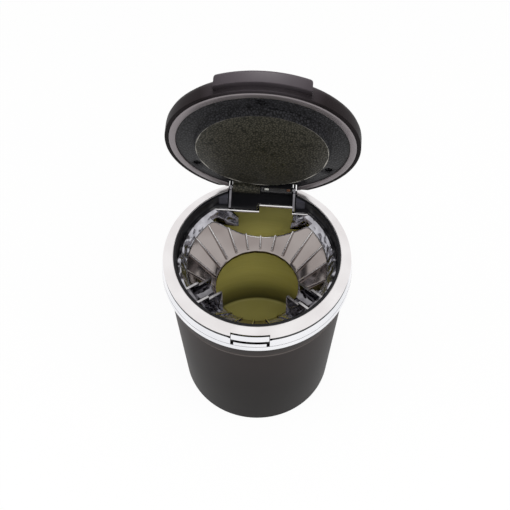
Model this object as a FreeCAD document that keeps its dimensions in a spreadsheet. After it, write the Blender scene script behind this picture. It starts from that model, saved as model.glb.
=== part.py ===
import FreeCAD, Part
import os
import re
import Sketcher

# A car ashtray that stands in a cup holder, in millimetres.
# +Z is up, the origin is the middle of the base, the front is -Y and the hinge is at +Y.
# The lid stands open, as it does in use.

doc = FreeCAD.newDocument("car_ashtray")
sheet = doc.addObject("Spreadsheet::Sheet", "Dims")

# Driving dimensions: each is set once here and read everywhere else by its alias.
DIMENSIONS = {
    # Black rim, from which the other diameters are stacked outwards
    "rim_inner_radius": 34.4,
    "rim_wall": 1.2,
    "rim_flange": 2.8,
    "rim_height": 7.0,
    "rim_flange_height": 4.25,
    "rim_floor": 1.0,
    "rim_ledge": 1.0,
    "fit_gap": 0.2,
    "touch_gap": 0.1,
    "edge_round": 0.3,
    # Bright bands
    "band_wall": 1.7,
    "band_flare": 0.8,
    "band_crease_height": 3.0,
    "band_crease_setback": 0.15,
    "band_lip": 0.7,
    "seam_gap": 1.0,
    "bevel_foot": 0.4,
    "bevel_flat": 0.4,
    # Cup and liner
    "shoulder_spread": 1.8,
    "shoulder_edge": 0.4,
    "shoulder_height": 8.0,
    "body_height": 72.0,
    "cup_taper": 4.6,
    "cup_wall": 2.0,
    "cup_floor": 2.6,
    "base_round": 2.0,
    "neck_height": 3.4,
    "liner_gap": 0.3,
    "liner_wall": 0.6,
    "liner_round": 2.0,
    # Funnel insert
    "insert_gap": 0.3,
    "insert_flange": 1.0,
    "insert_lip": 1.3,
    "insert_wall": 1.2,
    "funnel_drop": 5.0,
    "funnel_step": 1.4,
    "funnel_depth": 15.5,
    "facet_count": 22,
    "rib_width": 0.9,
    "rib_height": 0.7,
    "slot_width": 4.2,
    "slot_bridge": 4.0,
    "deck_depth": 7.9,
    "deck_height": 2.0,
    "lamp_notch": 3.5,
    "rear_lip": 1.0,
    "rear_lip_height": 0.4,
    "panel_depth": 12.0,
    "panel_end": 2.0,
    "panel_slant": 1.5,
    "left_panel_slant": 9.0,
    # Cigarette rests
    "rest_angle": 53.0,
    "rest_width": 7.2,
    "rest_wall": 1.0,
    "rest_inner_radius": 20.5,
    "rest_step_radius": 27.0,
    "rest_step": 2.0,
    "rest_floor": 1.2,
    "rest_floor_radius": 22.0,
    # Hinge
    "hinge_setback": 0.6,
    "hinge_drop": 0.2,
    "hinge_width": 27.2,
    "hinge_gap": 0.5,
    "ear_wall": 0.9,
    "ear_radius": 2.9,
    "ear_front_angle": 20.0,
    "ear_back_angle": 45.0,
    "barrel_radius": 2.5,
    "barrel_gap": 0.35,
    "pin_radius": 1.0,
    "pin_fit": 0.02,
    "pin_clearance": 0.06,
    "pin_overhang": 0.15,
    "block_width": 4.0,
    "block_depth": 4.0,
    "block_drop": 0.1,
    # Lid
    "lid_open_angle": 82.3,
    "lid_shift": 0.4,
    "lid_seat_gap": 0.4,
    "lid_overhang": 0.7,
    "lid_height": 9.0,
    "lid_crown": 0.5,
    "lid_top_round": 4.2,
    "lid_wall": 1.5,
    "lid_edge": 1.6,
    "lid_rebate": 1.0,
    "lid_edge_step": 0.3,
    "lid_tail": 0.9,
    "ring_width": 3.0,
    "ring_height": 1.2,
    "plate_step": 0.3,
    "plate_wall": 1.9,
    "plate_flange": 1.8,
    "pad_border": 7.2,
    "pad_height": 3.0,
    "pad_draft": 1.2,
    "pad_wall": 1.0,
    "grip_width": 39.0,
    "grip_reach": 2.4,
    "grip_undercut": 2.6,
    "grip_round": 2.2,
    # Screws
    "screw_count": 3,
    "screw_first_angle": 270.0,
    "screw_shank_radius": 0.9,
    "screw_head_radius": 1.5,
    "screw_head_height": 0.9,
    "screw_recess": 0.5,
    "screw_bite": 3.2,
    "post_radius": 2.2,
    # Lamp
    "lamp_split": 1.0,
    "lamp_depth": 5.5,
    "lamp_skin": 0.8,
    "lamp_shelf": 1.6,
    "board_wall": 0.8,
    "led_width": 1.8,
    "led_depth": 1.5,
    "led_proud": 0.1,
    "led_inset": 2.0,
    "contact_width": 1.6,
    "cell_radius": 6.25,
    "cell_wall": 1.6,
    "cell_shift": 12.0,
    # Front button
    "button_width": 16.0,
    "button_flange": 1.2,
    "button_slot": 1.5,
    "button_gap": 0.45,
    "button_well_skin": 0.6,
    "button_well_floor": 1.0,
    "button_notch_width": 1.3,
    "button_notch_depth": 0.8,
    "button_rise": 0.65,
    "button_travel": 1.2,
    "button_flange_wall": 0.6,
    "button_pocket": 0.8,
    "leaf_wall": 0.3,
    "leaf_height": 2.2,
}

# Sizes that follow from the driving ones, each written once.
DERIVED = {
    "rim_wall_radius": "rim_inner_radius + rim_wall",
    "rim_radius": "rim_wall_radius + rim_flange",
    "rim_hole_radius": "rim_inner_radius - rim_ledge",
    "band_inner_radius": "rim_radius + fit_gap",
    "band_top_radius": "band_inner_radius + band_wall",
    "band_radius": "band_top_radius + band_flare",
    "bevel_inner_radius": "rim_wall_radius + touch_gap",
    "seam_radius": "band_top_radius - touch_gap",
    "shoulder_radius": "band_radius - band_lip",
    "body_radius": "shoulder_radius - shoulder_spread",
    "base_radius": "body_radius - cup_taper",
    "ledge_z": "body_height + shoulder_height",
    "neck_top_z": "ledge_z + neck_height",
    "rim_bottom_z": "neck_top_z + liner_wall",
    "rim_top_z": "rim_bottom_z + rim_height",
    "bevel_bottom_z": "rim_bottom_z + rim_flange_height",
    "band_top_z": "bevel_bottom_z - seam_gap",
    "deck_z": "rim_bottom_z + deck_height",
    "liner_base_radius": "base_radius - cup_wall - liner_gap",
    "liner_top_radius": "rim_radius - cup_wall - liner_gap",
    "liner_z": "cup_floor + liner_gap",
    "insert_radius": "rim_inner_radius - insert_gap",
    "collar_mouth_radius": "insert_radius - insert_lip",
    "collar_radius": "rim_hole_radius - insert_gap",
    "collar_inner_radius": "collar_radius - insert_wall",
    "insert_z": "rim_bottom_z + rim_floor",
    "insert_top_z": "insert_z + insert_flange",
    "funnel_top_z": "insert_top_z - funnel_drop",
    "funnel_top_radius": "collar_inner_radius - funnel_step",
    "funnel_bottom_z": "funnel_top_z - funnel_depth",
    "deck_front": "rim_inner_radius - deck_depth",
    "slot_front": "deck_front - slot_width",
    "funnel_hole_radius": "slot_front - slot_bridge",
    "lip_top_z": "insert_top_z + rear_lip_height",
    "lip_front": "deck_front - rear_lip",
    "lip_end_x": "sqrt(collar_radius * collar_radius - lip_front * lip_front)",
    "hinge_y": "rim_inner_radius + hinge_setback",
    "hinge_z": "rim_top_z - hinge_drop",
    "ear_inner_x": "hinge_width / 2",
    "ear_outer_x": "ear_inner_x + ear_wall",
    "hinge_bay_x": "ear_outer_x + hinge_gap",
    "barrel_x": "ear_inner_x - barrel_gap",
    "lid_reach": "hinge_y - lid_shift",
    "lid_radius": "band_top_radius + lid_overhang",
    "lid_z": "hinge_drop + lid_seat_gap",
    "lid_edge_z": "lid_z + lid_edge_step",
    "lid_top_z": "lid_z + lid_height",
    "lid_rebate_z": "lid_z + ring_height",
    "ring_radius": "lid_radius - lid_edge - touch_gap",
    "ring_inner_radius": "ring_radius - ring_width",
    "plate_radius": "ring_inner_radius - touch_gap",
    "plate_z": "lid_z + plate_step",
    "plate_top_z": "plate_z + plate_wall",
    "pad_radius": "plate_radius - pad_border",
    "pad_face_z": "plate_z - pad_height",
    "pad_back_z": "pad_face_z + pad_wall",
    "screw_circle": "pad_radius + pad_border / 2",
    "lid_inner_top_z": "lid_top_z - lid_wall",
    "lamp_top_z": "plate_z",
    "lamp_front_z": "-barrel_radius",
    "lamp_end_y": "lid_reach - lamp_depth",
    "button_z": "rim_bottom_z + fit_gap",
    "button_top_z": "bevel_bottom_z + button_rise",
    "button_half": "button_width / 2",
    "button_stop_radius": "band_inner_radius + button_pocket",
    "button_back_radius": "button_stop_radius - touch_gap - button_flange_wall",
    "button_flange_half": "button_half + button_flange",
    "leaf_half": "button_flange_half",
    "leaf_front": "button_back_radius - touch_gap",
    "leaf_seat_radius": "rim_wall_radius + fit_gap",
}


def fill_sheet():
    """Write every driving dimension to the sheet, with its alias."""
    for row, (alias, value) in enumerate(DIMENSIONS.items(), start=1):
        sheet.set("A%d" % row, alias)
        sheet.set("B%d" % row, str(value))
        sheet.setAlias("B%d" % row, alias)
    doc.recompute()


def cells(formula):
    """Turn a formula in plain names into one that reads the sheet."""
    def lookup(match):
        word = match.group(0)
        if word in DERIVED:
            return "(" + cells(DERIVED[word]) + ")"
        if word in DIMENSIONS:
            return "Dims." + word
        return word
    return re.sub(r"[a-z][a-z_]*", lookup, formula)


def bind(piece, target, formula):
    """Drive one property of a piece from the sheet."""
    piece.setExpression(target, cells(formula))


def origin_plane(body, role):
    """Find one of a body's own origin planes."""
    for feature in body.Origin.OriginFeatures:
        if feature.Role == role:
            return feature


def outline(body, name, role, corners):
    """Sketch a closed outline whose corners are held from the sketch's origin."""
    sketch = body.newObject("Sketcher::SketchObject", name)
    sketch.AttachmentSupport = [(origin_plane(body, role), "")]
    sketch.MapMode = "FlatFace"
    count = len(corners)
    # The corners start on a circle and move to their places once they are bound.
    spoke = FreeCAD.Vector(20, 0, 0)
    start = []
    for i in range(count):
        start.append(FreeCAD.Rotation(FreeCAD.Vector(0, 0, 1), 360.0 * i / count).multVec(spoke))
    for i in range(count):
        sketch.addGeometry(Part.LineSegment(start[i], start[(i + 1) % count]))
    for i in range(count):
        sketch.addConstraint(Sketcher.Constraint("Coincident", i, 2, (i + 1) % count, 1))
    for i, (across, up) in enumerate(corners):
        hold(sketch, i, "DistanceX", across, -2)
        hold(sketch, i, "DistanceY", up, -1)
    return sketch


def hold(sketch, corner, kind, formula, axis):
    """Keep a corner on an axis, or at a bound distance from the origin."""
    if formula == "0":
        sketch.addConstraint(Sketcher.Constraint("PointOnObject", corner, 1, axis))
        return
    index = sketch.addConstraint(Sketcher.Constraint(kind, -1, 1, corner, 1, 10.0 + corner))
    label = "%s_%d" % (kind.lower(), corner)
    sketch.renameConstraint(index, label)
    bind(sketch, "Constraints." + label, formula)


def turned(name, corners):
    """A body turned about the vertical axis from a half section of (radius, height) corners."""
    body = doc.addObject("PartDesign::Body", name)
    sketch = outline(body, name + "_section", "XZ_Plane", corners)
    turn = body.newObject("PartDesign::Revolution", name + "_turn")
    turn.Profile = sketch
    turn.ReferenceAxis = (sketch, ["V_Axis"])
    turn.Angle = 360.0
    doc.recompute()
    return body


def slab(name, role, corners, thickness):
    """A flat body padded both ways from an outline on an origin plane."""
    body = doc.addObject("PartDesign::Body", name)
    sketch = outline(body, name + "_outline", role, corners)
    pad = body.newObject("PartDesign::Pad", name + "_pad")
    pad.Profile = sketch
    pad.Midplane = True
    bind(pad, "Length", thickness)
    doc.recompute()
    return body


def round_corner(body, name, radius, corner):
    """Round the edge that one corner of a turned body's section sweeps."""
    point = doc.getObject(body.Name + "_section").Geometry[corner].StartPoint
    base = body.Tip
    names = []
    for i, edge in enumerate(base.Shape.Edges, start=1):
        if isinstance(edge.Curve, Part.Circle):
            off = abs(edge.Curve.Radius - point.x) + abs(edge.Curve.Center.z - point.y)
            if off < 0.001:
                names.append("Edge%d" % i)
    fillet = body.newObject("PartDesign::Fillet", name)
    fillet.Base = (base, names)
    bind(fillet, "Radius", radius)
    doc.recompute()


def round_end(body, name, radius, *corners):
    """Round the straight edges that some corners of a padded body's outline sweep along Y."""
    base = body.Tip
    names = []
    for corner in corners:
        point = doc.getObject(body.Name + "_outline").Geometry[corner].StartPoint
        for i, edge in enumerate(base.Shape.Edges, start=1):
            ends = [vertex.Point for vertex in edge.Vertexes]
            if all(abs(end.x - point.x) + abs(end.z - point.y) < 0.001 for end in ends):
                names.append("Edge%d" % i)
    fillet = body.newObject("PartDesign::Fillet", name)
    fillet.Base = (base, names)
    bind(fillet, "Radius", radius)
    doc.recompute()


def box(name, low, high):
    """A block between two corners."""
    block = doc.addObject("Part::Box", name)
    for side, axis, start, end in zip(("Length", "Width", "Height"), "xyz", low, high):
        bind(block, side, "(%s) - (%s)" % (end, start))
        bind(block, "Placement.Base." + axis, start)
    return block


def upright(name, radius, low, high, across="0", back="0"):
    """A vertical cylinder between two heights."""
    drum = doc.addObject("Part::Cylinder", name)
    bind(drum, "Radius", radius)
    bind(drum, "Height", "(%s) - (%s)" % (high, low))
    bind(drum, "Placement.Base.x", across)
    bind(drum, "Placement.Base.y", back)
    bind(drum, "Placement.Base.z", low)
    return drum


def crosswise(name, radius, left, right, back, height):
    """A cylinder along X between two sides."""
    drum = doc.addObject("Part::Cylinder", name)
    drum.Placement.Rotation = FreeCAD.Rotation(FreeCAD.Vector(0, 1, 0), 90)
    bind(drum, "Radius", radius)
    bind(drum, "Height", "(%s) - (%s)" % (right, left))
    bind(drum, "Placement.Base.x", left)
    bind(drum, "Placement.Base.y", back)
    bind(drum, "Placement.Base.z", height)
    return drum


def joined(name, *pieces):
    """Several pieces as one."""
    union = doc.addObject("Part::MultiFuse", name)
    union.Shapes = list(pieces)
    union.Refine = True
    return union


def shared(name, *pieces):
    """What several pieces have in common."""
    overlap = doc.addObject("Part::MultiCommon", name)
    overlap.Shapes = list(pieces)
    return overlap


def without(name, base, *tools):
    """A piece with tools cut out of it."""
    tool = tools[0]
    if len(tools) > 1:
        tool = joined(name + "_tools", *tools)
    result = doc.addObject("Part::Cut", name)
    result.Base = base
    result.Tool = tool
    result.Refine = True
    return result


def mirrored(name, piece):
    """The same piece on the other side of the middle plane."""
    mirror = doc.addObject("Part::Mirroring", name)
    mirror.Source = piece
    mirror.Normal = FreeCAD.Vector(1, 0, 0)
    return mirror


def carried(name, piece):
    """A primitive as a piece whose own placement is free, for the lid to carry."""
    group = doc.addObject("Part::Compound", name)
    group.Links = [piece]
    return group


def hang(piece):
    """Stand a piece of the lid open about the hinge."""
    piece.Placement.Rotation = FreeCAD.Rotation(FreeCAD.Vector(1, 0, 0), -1)
    bind(piece, "Placement.Rotation.Angle", "-lid_open_angle")
    bind(piece, "Placement.Base.y", "hinge_y - lid_reach * cos(lid_open_angle)")
    bind(piece, "Placement.Base.z", "hinge_z + lid_reach * sin(lid_open_angle)")


fill_sheet()


def outer_cup():
    """Tapered black cup with a flared shoulder and a neck for the head."""
    body = turned("outer_cup", [
        ("0", "0"),
        ("base_radius", "0"),
        ("body_radius", "body_height"),
        ("body_radius + shoulder_edge", "body_height + shoulder_edge"),
        ("shoulder_radius", "ledge_z"),
        ("rim_radius", "ledge_z"),
        ("rim_radius", "neck_top_z"),
        ("rim_radius - cup_wall", "neck_top_z"),
        ("base_radius - cup_wall", "cup_floor"),
        ("0", "cup_floor"),
    ])
    round_corner(body, "base_fillet", "base_round", 1)
    return body


def liner_cup():
    """Metal can that hangs in the cup by its flange."""
    body = turned("liner_cup", [
        ("0", "liner_z"),
        ("liner_base_radius", "liner_z"),
        ("liner_top_radius", "neck_top_z"),
        ("rim_radius - fit_gap", "neck_top_z"),
        ("rim_radius - fit_gap", "rim_bottom_z"),
        ("liner_top_radius - liner_wall", "rim_bottom_z"),
        ("liner_base_radius - liner_wall", "liner_z + liner_wall"),
        ("0", "liner_z + liner_wall"),
    ])
    round_corner(body, "liner_outer_fillet", "liner_round", 1)
    round_corner(body, "liner_inner_fillet", "liner_round - liner_wall", 6)
    return body


def lower_trim_ring():
    """Bright band round the neck, with a window and a pocket for the front button."""
    band = turned("lower_band", [
        ("band_inner_radius", "ledge_z"),
        ("band_radius", "ledge_z"),
        ("band_radius - band_crease_setback", "ledge_z + band_crease_height"),
        ("band_top_radius", "band_top_z"),
        ("band_inner_radius", "band_top_z"),
    ])
    round_corner(band, "band_foot_round", "edge_round", 1)
    round_corner(band, "band_top_round", "edge_round", 3)
    window = box("button_window",
                 ("-button_half - fit_gap", "-band_radius - fit_gap", "button_z - button_slot"),
                 ("button_half + fit_gap", "-rim_wall_radius", "rim_top_z"))
    pocket_bay = box("button_bay",
                     ("-button_flange_half - fit_gap", "-band_radius", "button_z - fit_gap"),
                     ("button_flange_half + fit_gap", "-rim_wall_radius", "rim_top_z"))
    pocket_drum = upright("button_drum", "button_stop_radius", "button_z - fit_gap", "rim_top_z")
    pocket = shared("button_pocket_space", pocket_bay, pocket_drum)
    well_bay = box("button_well_bay",
                   ("-button_half - fit_gap", "-band_radius", "ledge_z + button_well_floor"),
                   ("button_half + fit_gap", "-rim_wall_radius", "button_z"))
    well = shared("button_well", well_bay, upright("button_well_drum", "band_radius - button_well_skin",
                                                   "ledge_z", "button_z"))
    right_notch = box("right_notch",
                      ("button_half + fit_gap - button_notch_width", "-band_radius - fit_gap",
                       "button_z - button_slot - button_notch_depth"),
                      ("button_half + fit_gap", "-rim_wall_radius", "button_z"))
    left_notch = mirrored("left_notch", right_notch)
    return without("lower_trim_ring", band, window, pocket, well, right_notch, left_notch)


def upper_trim_ring():
    """Bright bevel ring, open at the back for the hinge and notched for the button."""
    bevel = turned("bevel", [
        ("bevel_inner_radius", "bevel_bottom_z"),
        ("band_top_radius", "bevel_bottom_z"),
        ("band_top_radius", "bevel_bottom_z + bevel_foot"),
        ("bevel_inner_radius + bevel_flat", "rim_top_z"),
        ("bevel_inner_radius", "rim_top_z"),
    ])
    round_corner(bevel, "bevel_foot_round", "edge_round", 2)
    gap = box("bevel_hinge_gap",
              ("-hinge_bay_x - fit_gap", "0", "rim_bottom_z"),
              ("hinge_bay_x + fit_gap", "band_radius", "rim_top_z + rim_wall"))
    notch = box("bevel_button_notch",
                ("-button_half - fit_gap", "-band_radius", "rim_bottom_z"),
                ("button_half + fit_gap", "-bevel_inner_radius - button_travel / 2", "button_top_z + button_gap"))
    return without("upper_trim_ring", bevel, gap, notch)


def inner_rim():
    """Black ring with a lip in the seam, the hinge deck at the back and two small blocks beside it."""
    ring = turned("rim_ring", [
        ("rim_hole_radius", "rim_bottom_z"),
        ("rim_radius", "rim_bottom_z"),
        ("rim_radius", "band_top_z + touch_gap"),
        ("seam_radius", "band_top_z + touch_gap"),
        ("seam_radius", "bevel_bottom_z"),
        ("rim_wall_radius", "bevel_bottom_z"),
        ("rim_wall_radius", "rim_top_z"),
        ("rim_inner_radius + touch_gap", "rim_top_z"),
        ("rim_inner_radius", "rim_top_z - touch_gap"),
        ("rim_inner_radius", "insert_z"),
        ("rim_hole_radius", "insert_z"),
    ])
    deck_bay = box("deck_bay",
                   ("-rim_inner_radius", "deck_front + fit_gap", "rim_bottom_z"),
                   ("rim_inner_radius", "rim_radius", "deck_z"))
    disc = upright("deck_disc", "rim_inner_radius + touch_gap", "rim_bottom_z", "deck_z")
    deck = shared("deck", deck_bay, disc)
    right_block = box("right_block",
                      ("hinge_bay_x", "deck_front + slot_width / 2", "deck_z - touch_gap"),
                      ("hinge_bay_x + block_width", "deck_front + slot_width / 2 + block_depth",
                       "rim_top_z - block_drop"))
    block_pair = joined("block_pair", right_block, mirrored("left_block", right_block))
    block_disc = upright("block_disc", "rim_wall_radius", "rim_bottom_z", "rim_top_z")
    blocks = shared("hinge_blocks", block_pair, block_disc)
    whole = joined("rim_whole", ring, deck, blocks)
    bay = box("hinge_bay",
              ("-hinge_bay_x", "deck_front", "deck_z"),
              ("hinge_bay_x", "band_radius", "rim_top_z + rim_wall"))
    lamp_bay = box("lamp_bay",
                   ("-lamp_split - rear_lip - fit_gap", "0", "rim_bottom_z - fit_gap"),
                   ("ear_outer_x + fit_gap", "deck_front + lamp_notch + fit_gap", "rim_top_z"))
    front_bay = box("rim_front_bay",
                    ("-button_flange_half - fit_gap * 2", "-band_radius", "rim_bottom_z - fit_gap"),
                    ("button_flange_half + fit_gap * 2", "0", "bevel_bottom_z + fit_gap"))
    core = upright("rim_front_core", "rim_wall_radius", "rim_bottom_z - fit_gap", "rim_top_z")
    front_pocket = without("rim_front_pocket", front_bay, core)
    return without("inner_rim", whole, bay, lamp_bay, front_pocket)


def faceted_cone(name, lower_radius, lower_z, upper_radius, upper_z):
    """A solid with flat facets between two polygons, whose corners lie on the rib lines."""
    rings = []
    for place, radius, height in (("low", lower_radius, lower_z), ("high", upper_radius, upper_z)):
        ring = doc.addObject("Part::RegularPolygon", "%s_%s" % (name, place))
        ring.Placement.Rotation = FreeCAD.Rotation(FreeCAD.Vector(0, 0, 1), 90)
        bind(ring, "Polygon", "facet_count")
        bind(ring, "Circumradius", radius)
        bind(ring, "Placement.Base.z", height)
        rings.append(ring)
    cone = doc.addObject("Part::Loft", name)
    cone.Sections = rings
    cone.Solid = True
    cone.Ruled = True
    return cone


def funnel_ribs():
    """Straight ribs down the funnel, one on each corner of its facets."""
    slope_radius = "(funnel_top_radius - funnel_hole_radius)"
    body = doc.addObject("PartDesign::Body", "funnel_ribs")
    sketch = outline(body, "rib_outline", "YZ_Plane", [
        ("funnel_hole_radius + rib_width", "funnel_bottom_z"),
        ("funnel_top_radius + rib_width", "funnel_bottom_z + funnel_depth * (1 - rib_width / %s)" % slope_radius),
        ("funnel_top_radius + rib_width - rib_height", "funnel_top_z + rib_height"),
        ("funnel_hole_radius + rib_width - rib_height",
         "funnel_bottom_z + rib_height + funnel_depth * rib_width / %s" % slope_radius),
    ])
    pad = body.newObject("PartDesign::Pad", "rib_pad")
    pad.Profile = sketch
    pad.Midplane = True
    bind(pad, "Length", "rib_width")
    doc.recompute()
    pattern = body.newObject("PartDesign::PolarPattern", "rib_pattern")
    pattern.Originals = [pad]
    pattern.Axis = (sketch, ["V_Axis"])
    pattern.Angle = 360.0
    bind(pattern, "Occurrences", "facet_count")
    body.Tip = pattern
    doc.recompute()
    return body


def cigarette_rest(name, envelope, side):
    """A channel with two walls, stepped down at its inner half, over a rounded floor."""
    outer = "rest_width / 2 + rest_wall"
    block = box(name + "_block",
                ("-(%s)" % outer, "-collar_radius", "funnel_bottom_z"),
                (outer, "-rest_inner_radius", "insert_top_z"))
    channel = box(name + "_channel",
                  ("-rest_width / 2", "-collar_inner_radius", "funnel_bottom_z - rest_floor"),
                  ("rest_width / 2", "0", "insert_top_z + rest_step"))
    step = box(name + "_step",
               ("-(%s)" % outer, "-rest_step_radius", "insert_top_z - rest_step"),
               (outer, "0", "insert_top_z + rest_step"))
    walls = without(name + "_walls", block, channel, step)
    floor_block = box(name + "_floor_block",
                      ("-(%s)" % outer, "-collar_radius", "insert_top_z - rest_width - rest_floor"),
                      (outer, "-rest_floor_radius", "insert_top_z - rest_width / 2"))
    trough = doc.addObject("Part::Cylinder", name + "_trough")
    trough.Placement.Rotation = FreeCAD.Rotation(FreeCAD.Vector(1, 0, 0), 90)
    bind(trough, "Radius", "rest_width / 2")
    bind(trough, "Height", "collar_inner_radius")
    bind(trough, "Placement.Base.z", "insert_top_z - rest_width / 2")
    floor = without(name + "_floor", floor_block, trough)
    whole = joined(name + "_whole", walls, floor)
    whole.Placement.Rotation = FreeCAD.Rotation(FreeCAD.Vector(0, 0, 1), 1)
    bind(whole, "Placement.Rotation.Angle", "%d * rest_angle" % side)
    return shared(name, whole, envelope)


def hinge_ear(name, low_x):
    """An upright ear with a rounded end round the hinge pin."""
    body = slab(name + "_plate", "YZ_Plane", [
        ("lip_front", "deck_z + touch_gap"),
        ("lip_front", "lip_top_z + rear_lip_height"),
        ("hinge_y - ear_radius * cos(ear_front_angle)", "hinge_z + ear_radius * sin(ear_front_angle)"),
        ("hinge_y + ear_radius * cos(ear_back_angle)", "hinge_z - ear_radius * sin(ear_back_angle)"),
        ("hinge_y - ear_radius * cos(ear_back_angle)", "deck_z + touch_gap"),
    ], "ear_wall")
    bind(body, "Placement.Base.x", "%s + ear_wall / 2" % low_x)
    disc = crosswise(name + "_disc", "ear_radius", low_x, low_x + " + ear_wall", "hinge_y", "hinge_z")
    foot = box(name + "_foot",
               (low_x, "lip_front", "insert_z"),
               (low_x + " + ear_wall", "deck_front", "deck_z + insert_wall"))
    return joined(name, body, disc, foot)


def corner_panel(name, side, slant):
    """An upright panel under the rear lip, wider at its foot, that closes one end of the slot."""
    body = slab(name, "XZ_Plane", [
        ("%d * ear_outer_x" % side, "insert_top_z"),
        ("%d * (ear_outer_x + panel_end)" % side, "insert_top_z"),
        ("%d * (ear_outer_x + panel_end)" % side, "insert_top_z - panel_depth"),
        ("%d * (ear_outer_x - %s)" % (side, slant), "insert_top_z - panel_depth"),
    ], "rear_lip")
    bind(body, "Placement.Base.y", "deck_front - rear_lip / 2")
    return body


def funnel_insert():
    """Mirror-plated funnel: collar, flat facets, ribs, rests, rear slot and hinge ears in one moulding."""
    collar = turned("funnel_collar", [
        ("collar_radius", "insert_z"),
        ("insert_radius", "insert_z"),
        ("insert_radius", "insert_top_z"),
        ("collar_mouth_radius", "insert_top_z"),
        ("funnel_top_radius", "funnel_top_z"),
        ("funnel_top_radius", "funnel_top_z - insert_wall"),
        ("funnel_top_radius + insert_wall", "funnel_top_z - insert_wall"),
    ])
    slope = "(funnel_depth / (funnel_top_radius - funnel_hole_radius))"
    lower_radius = "funnel_hole_radius - insert_wall"
    lower_z = "funnel_bottom_z - insert_wall * %s" % slope
    inside = faceted_cone("cone_inside", lower_radius, lower_z, "funnel_top_radius", "funnel_top_z")
    outside = faceted_cone("cone_outside", lower_radius + " + insert_wall", lower_z,
                           "funnel_top_radius + insert_wall", "funnel_top_z")
    cone = without("cone_shell", outside, inside)
    cap = upright("envelope_cap", "collar_radius", "funnel_top_z - touch_gap", "insert_top_z")
    envelope = joined("funnel_envelope", outside, cap)
    ribs = shared("ribs", funnel_ribs(), envelope)
    hole = upright("funnel_hole", "funnel_hole_radius", "funnel_bottom_z - funnel_depth", "insert_top_z")
    slot_bay = box("slot_bay",
                   ("-collar_radius", "slot_front", "funnel_bottom_z - funnel_depth"),
                   ("collar_radius", "insert_radius", "insert_top_z + rest_step"))
    slot_drum = upright("slot_drum", "collar_inner_radius", "funnel_bottom_z - funnel_depth",
                        "insert_top_z + rest_step")
    slot = shared("rear_slot", slot_bay, slot_drum)
    behind = box("behind_deck",
                 ("-insert_radius", "deck_front", "funnel_bottom_z - funnel_depth"),
                 ("insert_radius", "insert_radius", "insert_top_z + rest_step"))
    bowl = without("funnel_bowl", joined("funnel_solid", collar, cone, ribs), hole, slot, behind)
    rests = [cigarette_rest("left_rest", envelope, -1), cigarette_rest("right_rest", envelope, 1)]
    edge = without("rests", joined("rest_pair", *rests), upright(
        "rest_clear", "rest_inner_radius", "funnel_bottom_z - funnel_depth", "insert_top_z + rest_step"))
    panels = shared("corner_panels",
                    joined("panel_pair", corner_panel("right_panel", 1, "panel_slant"),
                           corner_panel("left_panel", -1, "left_panel_slant")),
                    upright("panel_drum", "collar_radius - touch_gap", "funnel_bottom_z", "insert_top_z"))
    right_lip = box("right_lip", ("ear_inner_x", "lip_front", "insert_z"),
                    ("lip_end_x", "deck_front", "insert_top_z"))
    left_lip = box("left_lip", ("-lip_end_x", "lip_front", "insert_z"),
                   ("-lamp_split", "deck_front", "insert_top_z"))
    step_lip = box("step_lip", ("-lamp_split - rear_lip", "lip_front", "insert_z"),
                   ("-lamp_split", "deck_front + lamp_notch", "insert_top_z"))
    lamp_lip = box("lamp_lip", ("-lamp_split - rear_lip", "deck_front + lamp_notch - rear_lip", "insert_z"),
                   ("ear_outer_x", "deck_front + lamp_notch", "insert_top_z"))
    side_lip = box("side_lip", ("ear_inner_x", "lip_front", "insert_z"),
                   ("ear_outer_x", "deck_front + lamp_notch", "lip_top_z"))
    ears = [hinge_ear("right_ear", "ear_inner_x"), hinge_ear("left_ear", "-ear_outer_x")]
    moulding = joined("funnel_moulding", bowl, edge, panels, right_lip, left_lip, step_lip, lamp_lip,
                      side_lip, *ears)
    bores = crosswise("ear_bores", "pin_radius + pin_fit", "-ear_outer_x - ear_wall",
                      "ear_outer_x + ear_wall", "hinge_y", "hinge_z")
    return without("funnel_insert", moulding, bores)


def hinge_pin():
    """Steel pin from ear to ear."""
    return crosswise("hinge_pin", "pin_radius", "-ear_outer_x - pin_overhang",
                     "ear_outer_x + pin_overhang", "hinge_y", "hinge_z")


def button_blank(name, inner_radius, half, low, high):
    """A slice of the band between a radius and the outside, as wide as the button."""
    blank = turned(name + "_turn", [
        (inner_radius, low),
        ("band_radius - band_crease_setback", low),
        ("band_top_radius", "bevel_bottom_z"),
        ("band_top_radius - button_rise", high),
        (inner_radius, high),
    ])
    slice_box = box(name + "_slice", ("-(%s)" % half, "-band_radius", low), (half, "0", high))
    return shared(name, blank, slice_box)


def release_button():
    """Front button: a face flush with the band and a flange behind it that stops it falling out."""
    face = button_blank("button_face", "button_stop_radius - touch_gap * 2", "button_half",
                        "button_z", "button_top_z")
    flange = turned("button_flange_ring", [
        ("button_back_radius", "button_z"),
        ("button_stop_radius - touch_gap", "button_z"),
        ("button_stop_radius - touch_gap", "band_top_z"),
        ("button_back_radius", "band_top_z"),
    ])
    flange_slice = box("button_flange_slice", ("-button_flange_half", "-band_radius", "button_z"),
                       ("button_flange_half", "0", "band_top_z"))
    return joined("release_button", face, shared("button_flange_part", flange, flange_slice))


def button_spring():
    """Bowed leaf spring between the rim and the back of the button."""
    sag = "(leaf_front - sqrt(leaf_seat_radius * leaf_seat_radius - leaf_half * leaf_half))"
    bend = "((leaf_half * leaf_half + %s * %s) / (2 * %s))" % (sag, sag, sag)
    low = "rim_bottom_z + fit_gap * 2"
    high = low + " + leaf_height"
    centre = "%s - leaf_front" % bend
    outer = upright("leaf_outer", bend, low, high, back=centre)
    inner = upright("leaf_inner", bend + " - leaf_wall", low, high, back=centre)
    bow = without("leaf_bow", outer, inner)
    reach = box("leaf_reach", ("-leaf_half", "-band_radius", low),
                ("leaf_half", "-(leaf_front - %s)" % sag, high))
    return shared("button_spring", bow, reach)


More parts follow.
